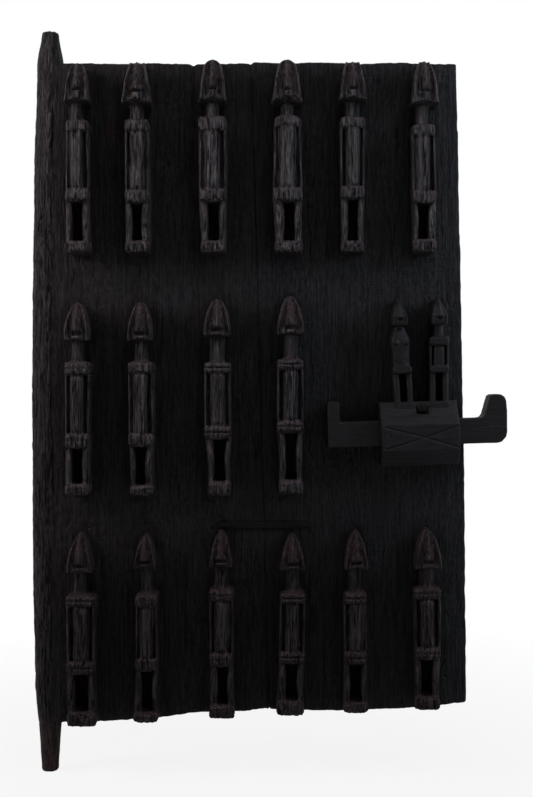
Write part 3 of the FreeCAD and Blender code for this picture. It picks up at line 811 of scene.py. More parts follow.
@dataclass
class HingePost:
    """Rounded post along the hinge plank's outer edge, which ends in the two tapering pivots."""

    levels: tuple[tuple[float, float, float, float], ...] = (
        (0.0, -9.2, 9.4, 9.4), (1.6, -10.4, 10.4, 10.4), (10.0, -10.8, 10.8, 10.8), (40.6, -12.8, 12.6, 12.6),
        (59.8, -14.4, 14.2, 14.0), (75.0, -16.2, 15.6, 15.2), (99.8, -18.2, 16.8, 16.6),
        (133.0, -19.0, 17.0, 16.7), (206.0, -20.6, 17.0, 16.8), (327.0, -21.9, 17.0, 16.8),
        (450.0, -22.0, 17.0, 16.8), (570.0, -21.9, 17.0, 16.8), (643.0, -20.9, 17.0, 16.8),
        (728.0, -19.7, 17.0, 16.8), (812.0, -16.7, 17.0, 16.8), (853.0, -16.4, 16.6, 16.4),
        (862.0, -15.6, 15.4, 15.4), (884.0, -11.4, 11.2, 11.2), (892.4, -10.7, 10.6, 10.6),
        (894.0, -9.8, 9.6, 9.6))
    sides: int = 44
    voxel: float = 1.4
    seed: float = 91.0
    strokes: tuple[Mark, ...] = (Mark(0.5, 12, 90), Mark(0.75, 2.8, 12, 2))
    furrow: Mark = Mark(3.4, 4.0, 26, 4)
    furrow_depth: float = 1.1
    split: Mark = Mark(1.7, 2.6, 15, 6)
    ragged_tip: Mark = Mark(1.2, 3.0, 9.0, 8)
    top_grain: Mark = Mark(1.6, 3.4, 4)
    foot_grain: Mark = Mark(0.2, 4, 4)

    def hew(self, point: Vector, normal: Vector) -> Vector:
        """Bark-like furrows that run along the post, none on the worn pivots.

        Args:
            point: place on the post.
            normal: direction of the surface there.

        Returns:
            How far the surface moves.
        """
        z = point.z
        if normal.z > 0.8:
            return normal * (self.top_grain.at(point, self.seed) - 1.7)
        if normal.z < -0.8:
            return normal * (self.foot_grain.at(point, self.seed) - self.foot_grain.depth)
        worn = min(smoothstep(12, 100, z), smoothstep(882, 820, z))
        cut = uneven(self.strokes, point, self.seed)
        furrow = self.furrow_depth * max(0.0, 0.5 - abs(self.furrow.at(point, self.seed)))
        split = self.split.bite(point, self.seed, 0.1)
        ragged = smoothstep(885, 893, z) * self.ragged_tip.bite(point, self.seed)
        return normal * (mix(0.4, 1.0, worn) * cut - mix(0.2, 1.0, worn) * (furrow + split) - ragged - 0.35)

    def build(self, finish: bpy.types.Material) -> None:
        """Round the post and taper its pivots.

        Args:
            finish: the post's material.
        """
        rings = []
        for height, left, right, deep in self.levels:
            middle, half = (left + right) / 2, (right - left) / 2
            turns = [math.tau * side / self.sides for side in range(self.sides)]
            rings.append([(middle + half * math.cos(turn), deep * math.sin(turn), height) for turn in turns])
        carving = Carving()
        carving.loft(rings)
        carving.fuse(self.voxel)
        carving.work(self.hew)
        carving.finish("hinge_plank_post", "door", ["hinge_plank"], Slot.DARK_WOOD, finish)


HINGE_OUTLINE = [(2.0, 61.0), (44.2, 61.3), (74.2, 62.8), (134.2, 66.8), (180.2, 73.5), (230.2, 74.1),
                 (260.2, 78.1), (266.6, 77.3), (243.9, 852.9), (234.0, 853.4), (209.2, 853.0), (178.2, 852.4),
                 (174.6, 848.6), (170.2, 852.2), (124.2, 853.6), (96.0, 852.2), (74.2, 853.2), (34.2, 853.4),
                 (8.0, 853.0), (0.0, 848.0)]
LOCK_OUTLINE = [(265.8, 77.3), (272.2, 76.3), (302.2, 75.5), (374.2, 75.7), (434.2, 78.7), (470.2, 81.3),
                (502.3, 85.5), (501.6, 164.3), (499.8, 364.3), (496.0, 564.3), (492.4, 764.3), (490.0, 853.2),
                (452.0, 852.2), (424.2, 853.9), (372.0, 852.7), (334.2, 854.3), (284.2, 853.3),
                (249.2, 854.1), (243.1, 852.9)]


def joint_at(height: float) -> float:
    """Distance of the planks' joint from the pivot axis at a height."""
    return mix(JOINT_TOP, JOINT_FOOT, (LEAF_TOP - height) / (LEAF_TOP - FOOT_AT_JOINT))


@dataclass
class LockFrame:
    """Lock's own axes: its centre on the plank's ground, and its small tilt."""

    across: float = 440.8
    height: float = 409.7
    tilt: float = 1.8

    def matrix(self) -> Matrix:
        """Transform from the lock's axes to the door's."""
        move = Matrix.Translation((self.across, FRONT, self.height))
        return move @ Matrix.Rotation(math.radians(-self.tilt), 4, "Y")


@dataclass
class Keeper:
    """Small standing figure on top of the lock case, in the lock's axes."""

    name: str
    centre: float
    squared: bool
    lean: float
    head: float
    seed: float
    foot: float = 24.0
    tip: float = 157.0
    jaw: float = 0.768
    width: float = 22.5
    relief: float = 42.0
    nose: float = 5.5
    mouth_depth: float = 1.8
    strokes: tuple[Mark, ...] = (Mark(0.22, 3, 12), Mark(0.28, 7, 20, 2))

    def level(self, share: float) -> float:
        """Height of a share of the figure's length."""
        return mix(self.foot, self.tip, share)

    def bar(self, carving: Carving, low: float, high: float, width: float, depth: float,
            ease: float = 1.8) -> None:
        """Add a rounded band between two shares of the length.

        Args:
            carving: the figure's carving.
            low: share at its lower edge.
            high: share at its upper edge.
            width: its width.
            depth: depth of its face as a share of the relief.
            ease: width of its rounding.
        """
        carving.boss(0.0, self.level(low), self.level(high), width / 2, -self.relief * depth, 0.0, ease)

    def add_trunk(self, carving: Carving) -> None:
        """Add feet, legs, belt, torso with its arms, shoulders and neck.

        Args:
            carving: the figure's carving.
        """
        half, deep = self.width / 2, self.relief
        self.bar(carving, 0, 0.095, self.width * 0.98, 0.88, 1.2)
        for side in (-1, 1):
            leg = self.width * 0.155
            carving.column(side * (half - leg - 0.3), [(self.level(0.07), leg, -deep * 0.74),
                                                       (self.level(0.24), leg * 1.05, -deep * 0.76),
                                                       (self.level(0.37), leg * 1.08, -deep * 0.72)], 0.0)
            if self.squared:
                arm = self.width * 0.07
                carving.column(side * (half - arm), [(self.level(0.4), arm, -deep * 0.74),
                                                     (self.level(0.6), arm, -deep * 0.74)], 0.0)
        self.bar(carving, 0.345, 0.413, self.width, 0.84)
        if self.squared:
            carving.block((-half + 2, -deep * 0.55, self.level(0.4)), (half - 2, 0.0, self.level(0.6)))
            self.bar(carving, 0.41, 0.58, self.width * 0.55, 0.8, 2.4)
            self.bar(carving, 0.583, 0.668, self.width * 1.02, 0.86, 2.4)
            neck = self.width * 0.27
            carving.column(0.0, [(self.level(0.65), neck * 1.1, -deep * 0.72),
                                 (self.level(0.72), neck * 0.95, -deep * 0.7),
                                 (self.level(0.79), neck, -deep * 0.7)], 0.0)
            return
        levels = []
        for share, wide, deep_share in ((0.4, 0.92, 0.74), (0.46, 0.9, 0.75), (0.55, 0.94, 0.78),
                                        (0.61, 1.02, 0.82), (0.655, 0.98, 0.81), (0.7, 0.78, 0.75),
                                        (0.75, 0.56, 0.68), (0.79, 0.58, 0.67)):
            front = -self.relief * deep_share
            right = [(half * wide * 0.5, front + 0.5), (half * wide * 0.86, front + 2.2),
                     (half * wide, front + 5.5), (half * wide, 0.0)]
            ring = [(-x, y) for x, y in reversed(right)] + [(0.0, front)] + right
            levels.append([(x, y, self.level(share)) for x, y in ring])
        carving.loft(levels)
        for side in (-1, 1):
            bump = bmesh.ops.create_icosphere(carving.mesh, subdivisions=2, radius=3.0)["verts"]
            spot = Vector((side * half * 0.54, -self.relief * 0.815, self.level(0.622)))
            bmesh.ops.translate(carving.mesh, vec=spot, verts=bump)

    def chisel(self, point: Vector, normal: Vector) -> Vector:
        """Tool marks and the mouth slit.

        Args:
            point: place on the figure.
            normal: direction of the surface there.

        Returns:
            How far the surface moves.
        """
        x, y, _ = point
        cut = uneven(self.strokes, point, self.seed)
        push = 0.0
        jaw = self.level(self.jaw)
        height = (point.z - jaw) / (self.tip - jaw)
        if y < -self.relief * 0.55 and 0.16 < height < 0.285:
            half = self.width * 0.13
            push = self.mouth_depth * smoothstep(half + 0.7, half - 0.5, abs(x)) * smoothstep(
                0.2, 0.23, height)
        return normal * cut + Vector((0, push, 0))

    def build(self, lock: LockFrame, finish: bpy.types.Material) -> None:
        """Carve the figure and stand it on the case.

        Args:
            lock: the lock's axes.
            finish: the wood's material.
        """
        carving = Carving()
        self.add_trunk(carving)
        HEADS[Row.LOCK].add(carving, self.level(self.jaw), self.tip, 0.0, self.head / 2, self.relief,
                            self.nose, arch=0.8, root=0.0)
        carving.fuse(0.9)
        carving.work(self.chisel)
        slope = self.lean / (self.tip - self.foot)
        shear = Matrix(((1, 0, slope, self.centre - slope * self.level(0.5)), (0, 1, 0, 0),
                        (0, 0, 1, 0), (0, 0, 0, 1)))
        carving.place(lock.matrix() @ shear)
        carving.finish(self.name, "door", ["lock_case"], Slot.LOCK_WOOD, finish)


@dataclass
class LockCase:
    """Lock case with its bevelled front, engraved cross, bolt channel and two standing figures."""

    lock: LockFrame
    width: float = 90.0
    profile: tuple[tuple[float, float], ...] = (
        (0.0, -37.5), (-34.0, -37.5), (-51.6, -19.0), (-51.6, 10.4), (-30.0, 37.5), (0.0, 37.5))
    channel: tuple[float, float, float] = (-30.9, -15.1, 16.9)
    chamber_back: float = -10.8
    chamber_top: float = 32.5
    tumbler_centres: tuple[float, float] = (-11.0, 27.0)
    chamber_half: float = 4.9
    cross_inset: float = 2.0
    cross_half_width: float = 1.0
    cross_depth: float = 1.5
    pocket: tuple[float, float, float] = (4.0, 7.5, 22.0)
    pocket_floor: float = -34.0
    seed: float = 31.0
    strokes: tuple[Mark, ...] = (Mark(0.25, 2.6, 24, grain=ACROSS), Mark(0.45, 14, 30, 2))
    chips: Mark = Mark(1.2, 4, 6, 4)

    def add_block(self, carving: Carving) -> None:
        """Add the case round its channel and its two tumbler chambers.

        Args:
            carving: the case's carving.
        """
        half = self.width / 2
        back, low, high = self.channel
        front, lower = self.profile[2][0], self.profile[1]
        shoulder, top = self.profile[4]
        carving.plate([self.profile[0], lower, self.profile[2], (front, low), (back, low), (0.0, low)],
                      -half, half, "X")
        carving.plate([(back, low - 2), self.profile[2], self.profile[3], (-46.0, 17.8), (back, high + 2)],
                      -half, half, "X")
        carving.plate([(self.chamber_back, high), (-46.6, high), (shoulder, top), (self.chamber_back, top)],
                      -half, half, "X")
        left, right = self.tumbler_centres
        stops = [-half, left - self.chamber_half, left + self.chamber_half, right - self.chamber_half,
                 right + self.chamber_half, half]
        for start, end in zip(stops[::2], stops[1::2]):
            carving.block((start, self.chamber_back - 2, high), (end, 0.0, top))
        for centre in self.tumbler_centres:
            carving.block((centre - 6, self.chamber_back - 2, self.chamber_top), (centre + 6, 0.0, top))

    def stroke_distance(self, x: float, z: float, rising: bool) -> float:
        """Distance from a point on the front band to one stroke of the cross.

        Args:
            x: place across the case.
            z: height on the case.
            rising: which of the two strokes.

        Returns:
            The distance in the band's plane.
        """
        low, high = self.profile[2][1] + self.cross_inset, self.profile[3][1] - self.cross_inset
        start = Vector((-self.width / 2 + 4.0, low if rising else high))
        end = Vector((self.width / 2 - 2.0, high if rising else low))
        run = end - start
        share = min(max((Vector((x, z)) - start).dot(run) / run.length_squared, 0), 1)
        bow = 0.9 * math.sin(share * math.pi) * (1 if rising else -1)
        return (Vector((x, z + bow)) - start - run * share).length

    def chisel(self, point: Vector, normal: Vector) -> Vector:
        """Tool marks, the cross, the nick, the nail's pocket and the chipped ridges.

        Args:
            point: place on the case, in the lock's axes.
            normal: direction of the surface there.

        Returns:
            How far the surface moves.
        """
        x, y, z = point
        if y > -32 and -16 < z < 34 and abs(x) < self.width / 2 - 0.5:
            return Vector((0, 0, 0))
        cut = uneven(self.strokes, point, self.seed)
        push = 0.0
        if y < -48.5 and -20 < z < 11.5:
            for rising in (True, False):
                away = self.stroke_distance(x, z, rising)
                push = max(push, self.cross_depth * smoothstep(self.cross_half_width + 0.6, 0.2, away))
            if -4.5 < z < 1.0:
                push = max(push, 1.0 * smoothstep(1.3, 0.3, abs(x + self.width / 2 - 8.6)))
        centre, half, low = self.pocket
        if abs(x - centre) < half and z > low and y < self.pocket_floor:
            push = max(push, self.pocket_floor - y)
        chip = max(smoothstep(9, 3, math.hypot(x - 30, (z + 20) * 1.6)),
                   0.7 * smoothstep(4, 1, abs(self.width / 2 - abs(x))))
        push += chip * self.chips.bite(point, self.seed, -0.2) * (y < -36)
        return normal * cut + Vector((0, push, 0))

    def build(self, finish: bpy.types.Material) -> None:
        """Carve the case and its figures.

        Args:
            finish: the lock's wood.
        """
        carving = Carving()
        self.add_block(carving)
        carving.fuse(0.9)
        carving.work(self.chisel)
        carving.place(self.lock.matrix())
        carving.finish("lock_case_block", "door", ["lock_case"], Slot.LOCK_WOOD, finish)
        Keeper("keeper_left", centre=-17.5, squared=False, lean=-3.6, head=18.4,
               seed=21.0).build(self.lock, finish)
        Keeper("keeper_right", centre=26.6, squared=True, lean=3.6, head=19.6,
               seed=25.0).build(self.lock, finish)


@dataclass
class Bolt:
    """Sliding bolt with an upstand on its left, a hook on its right, notches and a key groove."""

    lock: LockFrame
    outline: tuple[tuple[float, float], ...] = (
        (-106.5, -14.2), (-106.7, 10.0), (-106.2, 38.6), (-103.4, 41.0), (-95.0, 40.2), (-91.7, 38.0),
        (-91.8, 18.4), (-90.5, 16.0), (-40.0, 16.3), (20.0, 16.4), (70.0, 15.8), (75.6, 16.3),
        (78.7, 19.6), (85.6, 41.4), (88.8, 43.2), (97.6, 43.0), (102.4, 40.0), (104.7, 34.0), (104.8, -1.6),
        (102.6, -7.6), (97.4, -13.4), (92.0, -14.6), (60.0, -14.4), (0.0, -14.6), (-60.0, -14.2))
    front: float = -30.4
    back: float = -0.4
    notch_centres: tuple[float, float] = (-56.0, -18.0)
    notch_half: float = 4.9
    notch_floor: float = 10.4
    notch_back: float = -11.2
    groove_end: float = -13.1
    groove_foot: float = 1.4
    groove_back: float = -8.4
    rim_ease: float = 1.3
    seed: float = 41.0
    stroke: Mark = Mark(0.16, 3, 30, grain=ACROSS)
    end_marks: tuple[Mark, ...] = (Mark(0.3, 9, 26, 3, ACROSS), Mark(0.3, 3.5, 9, 5, ACROSS))

    def add_blank(self, carving: Carving) -> None:
        """Add the bolt in layers, so that the key groove and the notches stay open behind.

        Args:
            carving: the bolt's carving.
        """
        faces = carving.plate(self.outline, self.front, self.notch_back)
        carving.ease_rim(faces, self.front, self.rim_ease)
        step = self.notch_back - 1.0
        end, foot = self.outline[0]
        left, hook = [(end, self.notch_floor), *self.outline[2:8]], list(self.outline[10:22])
        first, second = self.notch_centres
        spans = (left + [(first - self.notch_half, 16.2), (first - self.notch_half, self.notch_floor)],
                 [(first + self.notch_half, self.notch_floor), (first + self.notch_half, 16.3),
                  (second - self.notch_half, 16.3), (second - self.notch_half, self.notch_floor)],
                 [(second + self.notch_half, -14.6), (second + self.notch_half, 16.4)] + hook,
                 [(end, foot), (end, self.groove_foot), (self.groove_end + 2, self.groove_foot),
                  (self.groove_end + 2, -14.5)])
        for span in spans:
            carving.plate(span, step, self.back)
        carving.plate([(end, 0.4), (end, 11.4), (-12.0, 11.4), (-12.0, 0.4)], step, self.groove_back)

    def chisel(self, point: Vector, normal: Vector) -> Vector:
        """Long shallow tool marks, with more wear on the two ends.

        Args:
            point: place on the bolt, in the lock's axes.
            normal: direction of the surface there.

        Returns:
            How far the surface moves.
        """
        ends = smoothstep(46, 60, abs(point.x))
        cut = self.stroke.at(point, self.seed) - 0.1
        if point.y > self.front + 4 and abs(point.x) < 95:
            return normal * min(cut, 0.0)
        cut += ends * (uneven(self.end_marks, point, self.seed) - 0.2)
        return normal * cut

    def build(self, finish: bpy.types.Material) -> None:
        """Carve the bolt and lay it in the lock.

        Args:
            finish: the lock's wood.
        """
        carving = Carving()
        self.add_blank(carving)
        carving.fuse(1.0)
        carving.work(self.chisel)
        carving.place(self.lock.matrix())
        carving.finish("bolt_carved", "bolt", ["bolt"], Slot.LOCK_WOOD, finish)


@dataclass
class Tumbler:
    """Loose peg that stands on the bolt and drops into its notch."""

    lock: LockFrame
    name: str
    centre: float
    width: float = 9.0
    depth: float = 10.0
    height: float = 12.0
    floor: float = 16.7
    back: float = -0.4
    ease: float = 0.15
    seed: float = 51.0
    stroke: Mark = Mark(0.12, 2, 9)

    def build(self, finish: bpy.types.Material) -> None:
        """Whittle the peg, with its foot eased so that it slides into the notch.

        Args:
            finish: the lock's wood.
        """
        carving = Carving()
        half = self.width / 2 - self.ease
        near, far = self.back - self.depth + self.ease, self.back - self.ease
        levels = []
        for height, inset in ((0.0, 1.3), (1.4, 0.2), (4.0, 0.0), (self.height - 1.2, 0.0),
                              (self.height, 0.9)):
            z = self.floor + height
            levels.append([(self.centre + side * (half - inset), y, z)
                           for side, y in ((-1, near + inset), (1, near + inset), (1, far - inset),
                                           (-1, far - inset))])
        carving.loft(levels)
        carving.fuse(0.5)
        carving.work(lambda point, normal: normal * (self.stroke.at(point, self.seed) - 0.08))
        carving.place(self.lock.matrix())
        carving.finish(f"{self.name}_peg", self.name, [self.name], Slot.LOCK_WOOD, finish)


@dataclass
class Staple:
    """Hammered iron staple over the joint of the planks, about its own middle."""

    node: str
    height: float
    facing_back: bool
    span: float = 112.0
    wide: float = 7.0
    stock: float = 3.5
    bite: float = 24.0
    clench: float = 15.0
    seed: float = 61.0
    hammering: tuple[Mark, ...] = (Mark(0.22, 5, 5), Mark(0.12, 1.6, 1.6, 2))

    def rings(self) -> list[list[tuple[float, float, float]]]:
        """Square rings along the staple, from one leg's end to the other's.

        Returns:
            The rings, for a staple that faces the front with its crown at y = 0.
        """
        half, reach = self.span / 2 - self.stock / 2, self.stock / 2
        crown = -self.stock / 2
        left = [(-half, self.bite), (-half, 8.0), (-half, 0.0)]
        if not self.facing_back:
            through = BACK - FRONT + self.stock / 2
            left = [(-half + self.clench - reach, through + 0.1), (-half + 3, through),
                    (-half, through - 2.2), (-half, 20.0), (-half, 8.0), (-half, 0.0)]
        path = left + [(-half + 0.5, crown + 0.5), (-half + 2.4, crown)]
        for share in (0.2, 0.4, 0.6, 0.8):
            path.append((mix(-half, half, share), crown))
        path += [(-x, y) for x, y in reversed(path[:len(left) + 2])]
        rings = []
        for index, (x, y) in enumerate(path):
            ahead = path[min(index + 1, len(path) - 1)]
            behind = path[max(index - 1, 0)]
            run = Vector((ahead[0] - behind[0], ahead[1] - behind[1])).normalized()
            side = Vector((-run.y, run.x)) * reach
            ends = index in (0, len(path) - 1)
            thin = 0.45 if ends else 1.0
            flat = self.wide / 2 * (0.6 if ends else 1.0)
            rings.append([(x + side.x * thin, y + side.y * thin, -flat),
                          (x + side.x * thin, y + side.y * thin, flat),
                          (x - side.x * thin, y - side.y * thin, flat),
                          (x - side.x * thin, y - side.y * thin, -flat)])
        return rings

    def build(self, finish: bpy.types.Material) -> None:
        """Forge the staple and drive it in.

        Args:
            finish: the iron.
        """
        carving = Carving()
        carving.loft(self.rings())
        carving.fuse(0.7, smoothing=2)
        carving.work(lambda point, normal: normal * (uneven(self.hammering, point, self.seed) - 0.12))
        turn = Matrix.Rotation(math.pi if self.facing_back else 0, 4, "Z")
        face = BACK if self.facing_back else FRONT
        carving.place(Matrix.Translation((joint_at(self.height), face, self.height)) @ turn)
        carving.finish(f"{self.node}_forged", "door", [self.node], Slot.IRON, finish)


@dataclass
class SquareNail:
    """Forged nail with a hammered head, in the lock's axes."""

    lock: LockFrame
    node: str
    across: float
    up: float
    head_face: float
    length: float
    points_back: bool
    stock: float = 3.9
    head: float = 10.8
    head_height: float = 3.0
    seed: float = 71.0
    hammering: tuple[Mark, ...] = (Mark(0.2, 3, 3), Mark(0.1, 1.2, 1.2))

    def build(self, finish: bpy.types.Material) -> None:
        """Forge the nail and drive it in.

        Args:
            finish: the iron.
        """
        carving = Carving()
        way = 1.0 if self.points_back else -1.0
        levels = []
        top, half = self.head / 2, self.stock / 2
        for out, reach in ((-self.head_height, top * 0.55), (-self.head_height * 0.8, top * 0.8),
                           (-self.head_height * 0.25, top), (0.0, top * 0.94), (0.4, half),
                           (self.length * 0.7, half), (self.length - 0.5, half * 0.3)):
            y = self.head_face + way * out
            levels.append([(self.across + side * reach, y, self.up + rise * reach)
                           for side, rise in ((-1, -1), (-0.2, -1.06), (1, -1), (1.04, 0.1), (1, 1),
                                              (0.1, 1.05), (-1, 1), (-1.05, -0.1))])
        carving.loft(levels)
        carving.fuse(0.55)
        carving.work(lambda point, normal: normal * (uneven(self.hammering, point, self.seed) - 0.1))
        carving.place(self.lock.matrix())
        carving.finish(f"{self.node}_forged", "door", [self.node], Slot.IRON, finish)


@dataclass
class RoundNail:
    """Small nail with a domed head, low on the lock plank."""

    node: str = "plank_nail"
    across: float = 420.0
    height: float = 117.1
    head: float = 2.5
    head_height: float = 1.5
    shank: float = 1.2
    length: float = 18.0
    sides: int = 20

    def build(self, finish: bpy.types.Material) -> None:
        """Turn the nail and drive it in.

        Args:
            finish: the iron.
        """
        carving = Carving()
        levels = []
        for out, reach in ((-self.head_height, 0.3), (-self.head_height * 0.9, self.head * 0.5),
                           (-self.head_height * 0.45, self.head * 0.9), (0.0, self.head),
                           (0.3, self.head * 0.9), (0.5, self.shank), (self.length - 3, self.shank),
                           (self.length, 0.2)):
            turns = [math.tau * side / self.sides for side in range(self.sides)]
            levels.append([(self.across + reach * math.cos(turn), FRONT + out,
                            self.height + reach * math.sin(turn)) for turn in turns])
        carving.loft(levels)
        carving.finish(f"{self.node}_driven", "door", [self.node], Slot.IRON, finish)


def linear(hex_colour: str) -> tuple[float, float, float, float]:
    """Turn an sRGB hex colour to linear values.

    Args:
        hex_colour: colour such as "#1b1614".

    Returns:
        Red, green, blue and an alpha of 1.
    """
    digits = hex_colour.lstrip("#")
    shares = [int(digits[start:start + 2], 16) / 255 for start in (0, 2, 4)]
    red, green, blue = (share / 12.92 if share <= 0.04045 else ((share + 0.055) / 1.055) ** 2.4
                        for share in shares)
    return red, green, blue, 1.0


def add_node(tree: bpy.types.NodeTree, kind: str, inputs: dict | None = None,
             **settings: object) -> bpy.types.Node:
    """Add a node with its settings and what feeds it.

    Args:
        tree: node tree that gets the node.
        kind: the node's type, without the word ShaderNode.
        inputs: values, sockets or nodes by the input's name or number; a node feeds it from the first
            output that is in use.
        settings: the node's properties.

    Returns:
        The new node.
    """
    node = tree.nodes.new(f"ShaderNode{kind}")
    for name, value in settings.items():
        setattr(node, name, value)
    for name, value in (inputs or {}).items():
        if isinstance(value, bpy.types.Node):
            value = next(output for output in value.outputs if output.enabled)
        if isinstance(value, bpy.types.NodeSocket):
            tree.links.new(value, node.inputs[name])
        else:
            node.inputs[name].default_value = value
    return node


@dataclass(frozen=True)
class WoodFinish:
    """Old hardwood, hewn with an adze and blackened by hearth smoke and handling.

    Sizes are in millimetres: width and length, along the grain, of one step of a pattern. Real grain
    and fibres are under half a millimetre wide, too fine to show in the picture, so they are drawn at
    1.7 mm and more. The smoke leaves a nearly black ground, and its hollows are darkened further as
    painted shade; raised edges are rubbed to a satin grey-brown, faces that look up are painted paler,
    partly a pale dusting and partly painted light from above, the grain stays sooty in dull streaks,
    and a few spots show the warm wood below.
    """

    name: str
    dark: str
    mid: str
    light: str
    rubbed: str
    warm: str = "#4c3323"
    bare: str = "#46322a"
    # near black of the sooty cracks, also laid on the hollows as painted shade
    soot_and_shade_black: str = "#040303"
    grain: Vector = UP
    grain_size: tuple[float, float] = (2.2, 46.0)
    mark_size: tuple[float, float] = (6.5, 22.0)
    fibre_size: tuple[float, float] = (3.0, 9.0)
    crack_size: tuple[float, float] = (15.0, 190.0)
    chatter: float = 0.0
    dull: float = 0.68
    satin: float = 0.4
    specular: float = 0.35
    sooty_grain: float = 0.35
    # share of the lightening on faces that look up: partly a pale dusting, partly painted light from above
    dust_and_top_light: float = 0.0
    wear_from: float = 0.535
    wear_to: float = 0.61
    relief: float = 0.0016
    warm_spots: tuple[tuple[float, float, float], ...] = ()
    bare_foot: tuple[float, float] | None = None

    def pattern_scale(self, width: float, length: float) -> Vector:
        """Scale that makes one pattern step width across and length along the grain."""
        across, run = 1 / (width * METRES), 1 / (length * METRES)
        return Vector([mix(across, run, abs(part)) for part in self.grain])

    def build(self) -> bpy.types.Material:
        """Make the material.

        Returns:
            The material, patterned in object coordinates.
        """
        material = bpy.data.materials.new(self.name)
        material.use_nodes = True
        tree = material.node_tree
        shader = tree.nodes["Principled BSDF"]
        place = add_node(tree, "TexCoord").outputs["Object"]
        patterns = []
        for size, detail, rough in ((self.grain_size, 5, 0.6), (self.mark_size, 4, 0.6),
                                    ((55, 110), 3, 0.5), (self.crack_size, 2, 0.4),
                                    (self.fibre_size, 6, 0.72), ((26, 2.6), 3, 0.6)):
            scaled = add_node(tree, "VectorMath", {0: place, 1: self.pattern_scale(*size)},
                              operation="MULTIPLY")
            patterns.append(add_node(tree, "TexNoise", {"Vector": scaled, "Scale": 1.0, "Detail": detail,
                                                        "Roughness": rough}))
        grain, marks, patches, crack_field, fibre, chatter = patterns
        off_centre = add_node(tree, "Math", {0: crack_field, 1: 0.5}, operation="SUBTRACT")
        distance = add_node(tree, "Math", {0: off_centre}, operation="ABSOLUTE")
        thin = add_node(tree, "MapRange", {0: distance, 1: 0.0, 2: 0.007, 3: 1.0, 4: 0.0})
        open_patches = add_node(tree, "MapRange", {0: patches, 1: 0.42, 2: 0.6})
        crack = add_node(tree, "Math", {0: thin, 1: open_patches}, operation="MULTIPLY")

        streaks = add_node(tree, "MapRange", {0: grain, 1: 0.32, 2: 0.7})
        colour = add_node(tree, "Mix", {0: streaks, 6: linear(self.dark), 7: linear(self.mid)},
                          data_type="RGBA")
        broad = add_node(tree, "MapRange", {0: patches, 1: 0.42, 2: 0.72})
        flecks = add_node(tree, "MapRange", {0: fibre, 1: 0.42, 2: 0.66})
        paler = add_node(tree, "Math", {0: broad, 1: flecks}, operation="MULTIPLY")
        colour = add_node(tree, "Mix", {0: paler, 6: colour, 7: linear(self.light)}, data_type="RGBA")
        surface = add_node(tree, "NewGeometry")
        edge = surface.outputs["Pointiness"]
        raised = add_node(tree, "MapRange", {0: edge, 1: self.wear_from, 2: self.wear_to})
        patchy = add_node(tree, "MapRange", {0: fibre, 1: 0.38, 2: 0.6, 3: 0.1, 4: 1.0})
        wear = add_node(tree, "Math", {0: raised, 1: patchy}, operation="MULTIPLY")
        colour = add_node(tree, "Mix", {0: wear, 6: colour, 7: linear(self.rubbed)}, data_type="RGBA")
        # Faces that look up are mixed towards the rubbed colour: partly a pale dusting, partly painted light
        # from above
        if self.dust_and_top_light:
            rise = add_node(tree, "SeparateXYZ", {0: surface.outputs["Normal"]}).outputs["Z"]
            upward_dust_and_light = add_node(tree, "MapRange", {0: rise, 1: 0.02, 2: 0.36, 3: 0.0, 4: self.dust_and_top_light})
            shown = add_node(tree, "Math", {0: upward_dust_and_light, 1: patchy}, operation="MULTIPLY")
            colour = add_node(tree, "Mix", {0: shown, 6: colour, 7: linear(self.rubbed)}, data_type="RGBA")
        for x, z, reach, strength in self.warm_spots:
            flat = add_node(tree, "VectorMath", {0: place, 1: (1.0, 0.0, 0.4)}, operation="MULTIPLY")
            spot = (x * METRES, 0.0, z * METRES * 0.4)
            away = add_node(tree, "VectorMath", {0: flat, 1: spot}, operation="DISTANCE")
            near = add_node(tree, "MapRange", {0: away, 1: reach * METRES, 2: 0.0, 3: 0.0, 4: strength})
            streaky = add_node(tree, "MapRange", {0: grain, 1: 0.42, 2: 0.6})
            shown = add_node(tree, "Math", {0: near, 1: streaky}, operation="MULTIPLY")
            colour = add_node(tree, "Mix", {0: shown, 6: colour, 7: linear(self.warm)}, data_type="RGBA")
        if self.bare_foot:
            low, high = self.bare_foot
            height = add_node(tree, "SeparateXYZ", {0: place}).outputs["Z"]
            lower = add_node(tree, "MapRange", {0: height, 1: high * METRES, 2: low * METRES})
            streaky = add_node(tree, "MapRange", {0: grain, 1: 0.3, 2: 0.7, 3: 0.2, 4: 0.9})
            shown = add_node(tree, "Math", {0: lower, 1: streaky}, operation="MULTIPLY")
            colour = add_node(tree, "Mix", {0: shown, 6: colour, 7: linear(self.bare)}, data_type="RGBA")
        colour = add_node(tree, "Mix", {0: crack, 6: colour, 7: linear(self.soot_and_shade_black)}, data_type="RGBA")
        # Painted shade: concave places, the recesses and hollows, are darkened towards the near-black colour
        hollow = add_node(tree, "MapRange", {0: edge, 1: 0.49, 2: 0.43})
        colour = add_node(tree, "Mix", {0: hollow, 6: colour, 7: linear(self.soot_and_shade_black)}, data_type="RGBA")

